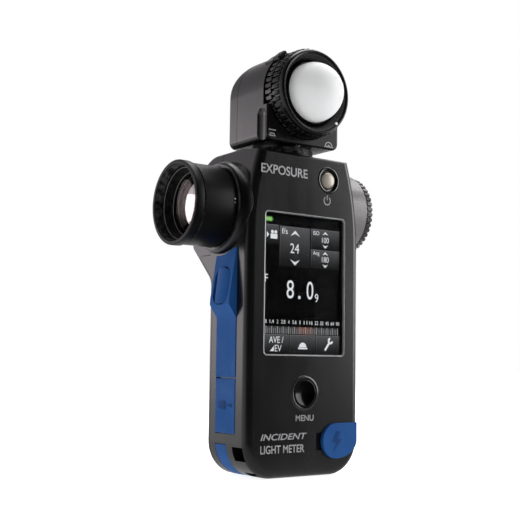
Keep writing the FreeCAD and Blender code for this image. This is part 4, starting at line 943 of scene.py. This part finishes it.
bm = bmesh.new()
labels = ["1", "1.4", "2", "2.8", "4", "5.6", "8", "11", "16", "22", "32", "45", "64", "90"]
items = []
for i, s in enumerate(labels):
    xc = -18.75 + i * 37.5 / 13
    w = {1: 0.62, 2: 1.75, 3: 2.1}[len(s)]
    if s == "1":
        w = 0.35
    items.append((s, xc - w / 2, xc + w / 2, 61.45, 62.95))
items += [("f/s", -11.3, -8.3, 98.0, 100.4), ("ISO", 5.2, 8.4, 98.9, 100.6), ("100", 9.9, 13.6, 95.9, 98.2), ("Ang", 5.1, 8.5, 90.1, 92.2), ("180", 9.9, 13.6, 87.7, 90.0),
          ("24", -6.9, -2.3, 90.4, 94.4), ("F", -19.6, -18.1, 77.9, 81.1), ("8", -8.5, -4.8, 71.8, 79.2), ("0", 1.9, 5.4, 71.8, 79.2), ("9", 6.3, 8.1, 70.8, 74.3),
          ("AVE /", -17.1, -9.9, 53.6, 56.2), ("EV", -14.2, -10.8, 50.2, 52.8)]
glyph_bm(bm, items, UY - 0.03, 0.02)


def chevron(cx, cz, w, h, up, t):
    s = 1 if up else -1
    return [(cx - w / 2, cz - s * h / 2), (cx, cz + s * h / 2), (cx + w / 2, cz - s * h / 2), (cx, cz + s * (h / 2 - t))]


for pts in (chevron(-4.4, 98.6, 5.0, 2.4, True, 1.35), chevron(-4.4, 86.6, 5.0, 2.4, False, 1.35),
            chevron(11.7, 99.9, 3.0, 1.5, True, 0.95), chevron(11.7, 94.3, 3.0, 1.5, False, 0.95),
            chevron(11.7, 91.4, 3.0, 1.5, True, 0.95), chevron(11.7, 86.1, 3.0, 1.5, False, 0.95),
            [(-2.45, 71.8), (-1.35, 71.8), (-1.35, 73.0), (-2.45, 73.0)],
            # dome sign
            sector(0.1, 52.1, 0.0001, 1.9, 0, 180, 16), [(-2.3, 51.3), (2.5, 51.3), (2.5, 51.95), (-2.3, 51.95)],
            # spanner
            bar(11.9, 51.0, 14.3, 54.2, 0.95), sector(14.9, 55.0, 0.55, 1.45, 100, 350, 14),
            # cine camera sign
            [(-18.9, 95.9), (-18.9, 98.4), (-17.7, 97.15)], fillet([(-17.0, 95.6), (-13.6, 95.6), (-13.6, 97.6), (-17.0, 97.6)], 0.2, 2),
            disc(-16.1, 98.4, 0.72, 14), disc(-14.4, 98.4, 0.72, 14),
            # delta sign
            [(-16.6, 50.3), (-14.7, 50.3), (-14.7, 52.4)]):
    prism_bm(bm, pts, on_front, UY - 0.03, UY - 0.05)
finish_mesh("screen_figures", bm, M["ui_white"], "case", slot="display")
bm = bmesh.new()
for pts in (fillet([(-19.6, 102.5), (-16.2, 102.5), (-16.2, 104.5), (-19.6, 104.5)], 0.3, 3), [(-16.2, 103.1), (-15.8, 103.1), (-15.8, 103.9), (-16.2, 103.9)]):
    prism_bm(bm, pts, on_front, UY, UY - 0.02)
finish_mesh("screen_cell_sign", bm, M["ui_green"], "case", slot="display")
bm = bmesh.new()
for q in range(3):
    prism_bm(bm, [(-19.2 + q * 0.95, 102.9), (-18.6 + q * 0.95, 102.9), (-18.6 + q * 0.95, 104.1), (-19.2 + q * 0.95, 104.1)], on_front, UY - 0.03, UY - 0.05)
finish_mesh("screen_cell_bars", bm, M["ui_lime"], "case", slot="display")

# ------------------------------------------------------------------ printing on the front
bm = bmesh.new()
glyph_bm(bm, [("MENU", -4.6, 4.7, 22.4, 24.8), ("EXPOSURE", -23.4, 0.4, 121.7, 125.5), ("INCIDENT", -22.0, 1.2, 15.2, 17.7, 0.9),
              ("LIGHT METER", -22.0, 0.0, 10.0, 13.2)], -12.995, 0.035)
for pts in (sector(11.05, 113.6, 1.5, 1.92, 125, 415, 30), bar(11.05, 113.9, 11.05, 115.9, 0.42)):
    prism_bm(bm, pts, on_front, -12.98, -13.03)
finish_mesh("front_printing", bm, M["paint_grey"], "case", slot="bezel_grey")

# ------------------------------------------------------------------ floor, light, world
BACK = Vector((-0.30, 0.95, 0.0)).normalized()
k = Mat("floor_paper")
paper = k.ramp(k.noise(2.0, 3.0), [(0.3, (0.88, 0.88, 0.885)), (0.7, (0.91, 0.91, 0.91))])
k.bump([(k.noise(800.0, 2.0), 0.00002)], 0.2)
lpf = k.n("ShaderNodeLightPath")
k.color(k.mix(lpf.outputs["Is Camera Ray"], (0.05, 0.05, 0.05), paper))
fd = k.n("ShaderNodeVectorMath", _operation="DOT_PRODUCT")
fd.inputs[1].default_value = BACK
k.l(k.obj, fd.inputs[0])
bounce = k.ramp(k.rng(fd.outputs["Value"], 0.0, 1.0, -0.10, 0.05), [(0.0, (0.0, 0.0, 0.0)), (1.0, (1.0, 1.0, 1.0))])
bounce = k.mix(lpf.outputs["Is Diffuse Ray"], bounce, (1.0, 1.0, 1.0))
k.l(k.mix(lpf.outputs["Is Camera Ray"], bounce, (0.84, 0.84, 0.84)), k.b.inputs["Emission Color"])
k.b.inputs["Emission Strength"].default_value = 1.0
floor_m = k.done(0.75, 0.0, 0.15)
bm = bmesh.new()
R = 4.0
ring_n = 64
vs = [bm.verts.new((R * math.cos(2 * math.pi * i / ring_n), R * math.sin(2 * math.pi * i / ring_n), -0.0002)) for i in range(ring_n)]
bm.faces.new(vs)
me = bpy.data.meshes.new("floor")
bm.to_mesh(me)
bm.free()
floor = bpy.data.objects.new("floor", me)
SC.collection.objects.link(floor)
me.materials.append(floor_m)


def area(name, loc, target, size, power, color=(1, 1, 1), glossy=True):
    d = bpy.data.lights.new(name, "AREA")
    d.shape = "RECTANGLE"
    d.size, d.size_y = size
    d.energy = power
    d.color = color
    o = bpy.data.objects.new(name, d)
    o.location = loc
    o.rotation_mode = "QUATERNION"
    o.rotation_quaternion = (Vector(target) - Vector(loc)).to_track_quat("-Z", "Y")
    o.visible_glossy = glossy
    SC.collection.objects.link(o)
    return o


area("left_bank", (-0.72, 1.02, 0.10), (0, 0, 0.09), (0.75, 0.72), 3.5, (1.0, 0.92, 0.97))
area("top_bank", (0.35, 0.10, 1.00), (0, 0, 0.10), (1.0, 0.8), 10.0)
area("right_bank", (0.953, -0.55, 0.26), (0, 0, 0.09), (0.6, 0.9), 9.0)
area("front_fill", (-0.30, -0.95, 0.55), (0, 0, 0.11), (0.9, 0.9), 1.2, glossy=False)
area("side_fill", (-0.95, -0.25, 0.15), (0, 0, 0.09), (0.7, 0.7), 0.8, glossy=False)

world = bpy.data.worlds.new("studio")
SC.world = world
world.use_nodes = True
wt = world.node_tree
bg = wt.nodes["Background"]
tc = wt.nodes.new("ShaderNodeTexCoord")
# bright paper behind and to the sides, a darker room in front of the object
dotn = wt.nodes.new("ShaderNodeVectorMath")
dotn.operation = "DOT_PRODUCT"
dotn.inputs[1].default_value = Vector((-0.10, 0.995, 0.0)).normalized()
wt.links.new(tc.outputs["Generated"], dotn.inputs[0])
mr = wt.nodes.new("ShaderNodeMapRange")
mr.inputs["From Min"].default_value = -1
mr.inputs["From Max"].default_value = 1
wt.links.new(dotn.outputs["Value"], mr.inputs["Value"])
rp = wt.nodes.new("ShaderNodeValToRGB")
e = rp.color_ramp.elements
e[0].position, e[0].color = 0.28, (0.004, 0.004, 0.0045, 1)
e[1].position, e[1].color = 0.74, (1.05, 1.0, 1.04, 1)
for p, v in ((0.36, 0.03), (0.46, 0.20), (0.60, 0.72)):
    q = e.new(p)
    q.color = (v, v, v * 1.01, 1)
wt.links.new(mr.outputs["Result"], rp.inputs["Fac"])
sepz = wt.nodes.new("ShaderNodeSeparateXYZ")
wt.links.new(tc.outputs["Generated"], sepz.inputs[0])
hi = wt.nodes.new("ShaderNodeMapRange")
hi.inputs["From Min"].default_value = 0.28
hi.inputs["From Max"].default_value = 0.70
hi.inputs["To Min"].default_value = 1.0
hi.inputs["To Max"].default_value = 0.22
wt.links.new(sepz.outputs["Z"], hi.inputs["Value"])
low = wt.nodes.new("ShaderNodeVectorMath")
low.operation = "SCALE"
wt.links.new(rp.outputs["Color"], low.inputs[0])
wt.links.new(hi.outputs["Result"], low.inputs["Scale"])
lp = wt.nodes.new("ShaderNodeLightPath")
mx = wt.nodes.new("ShaderNodeMix")
mx.data_type = "RGBA"
wt.links.new(lp.outputs["Is Camera Ray"], mx.inputs["Factor"])
wt.links.new(low.outputs["Vector"], mx.inputs[6])
mx.inputs[7].default_value = (1.0, 1.0, 1.0, 1)
wt.links.new(mx.outputs[2], bg.inputs["Color"])
bg.inputs["Strength"].default_value = 1.0
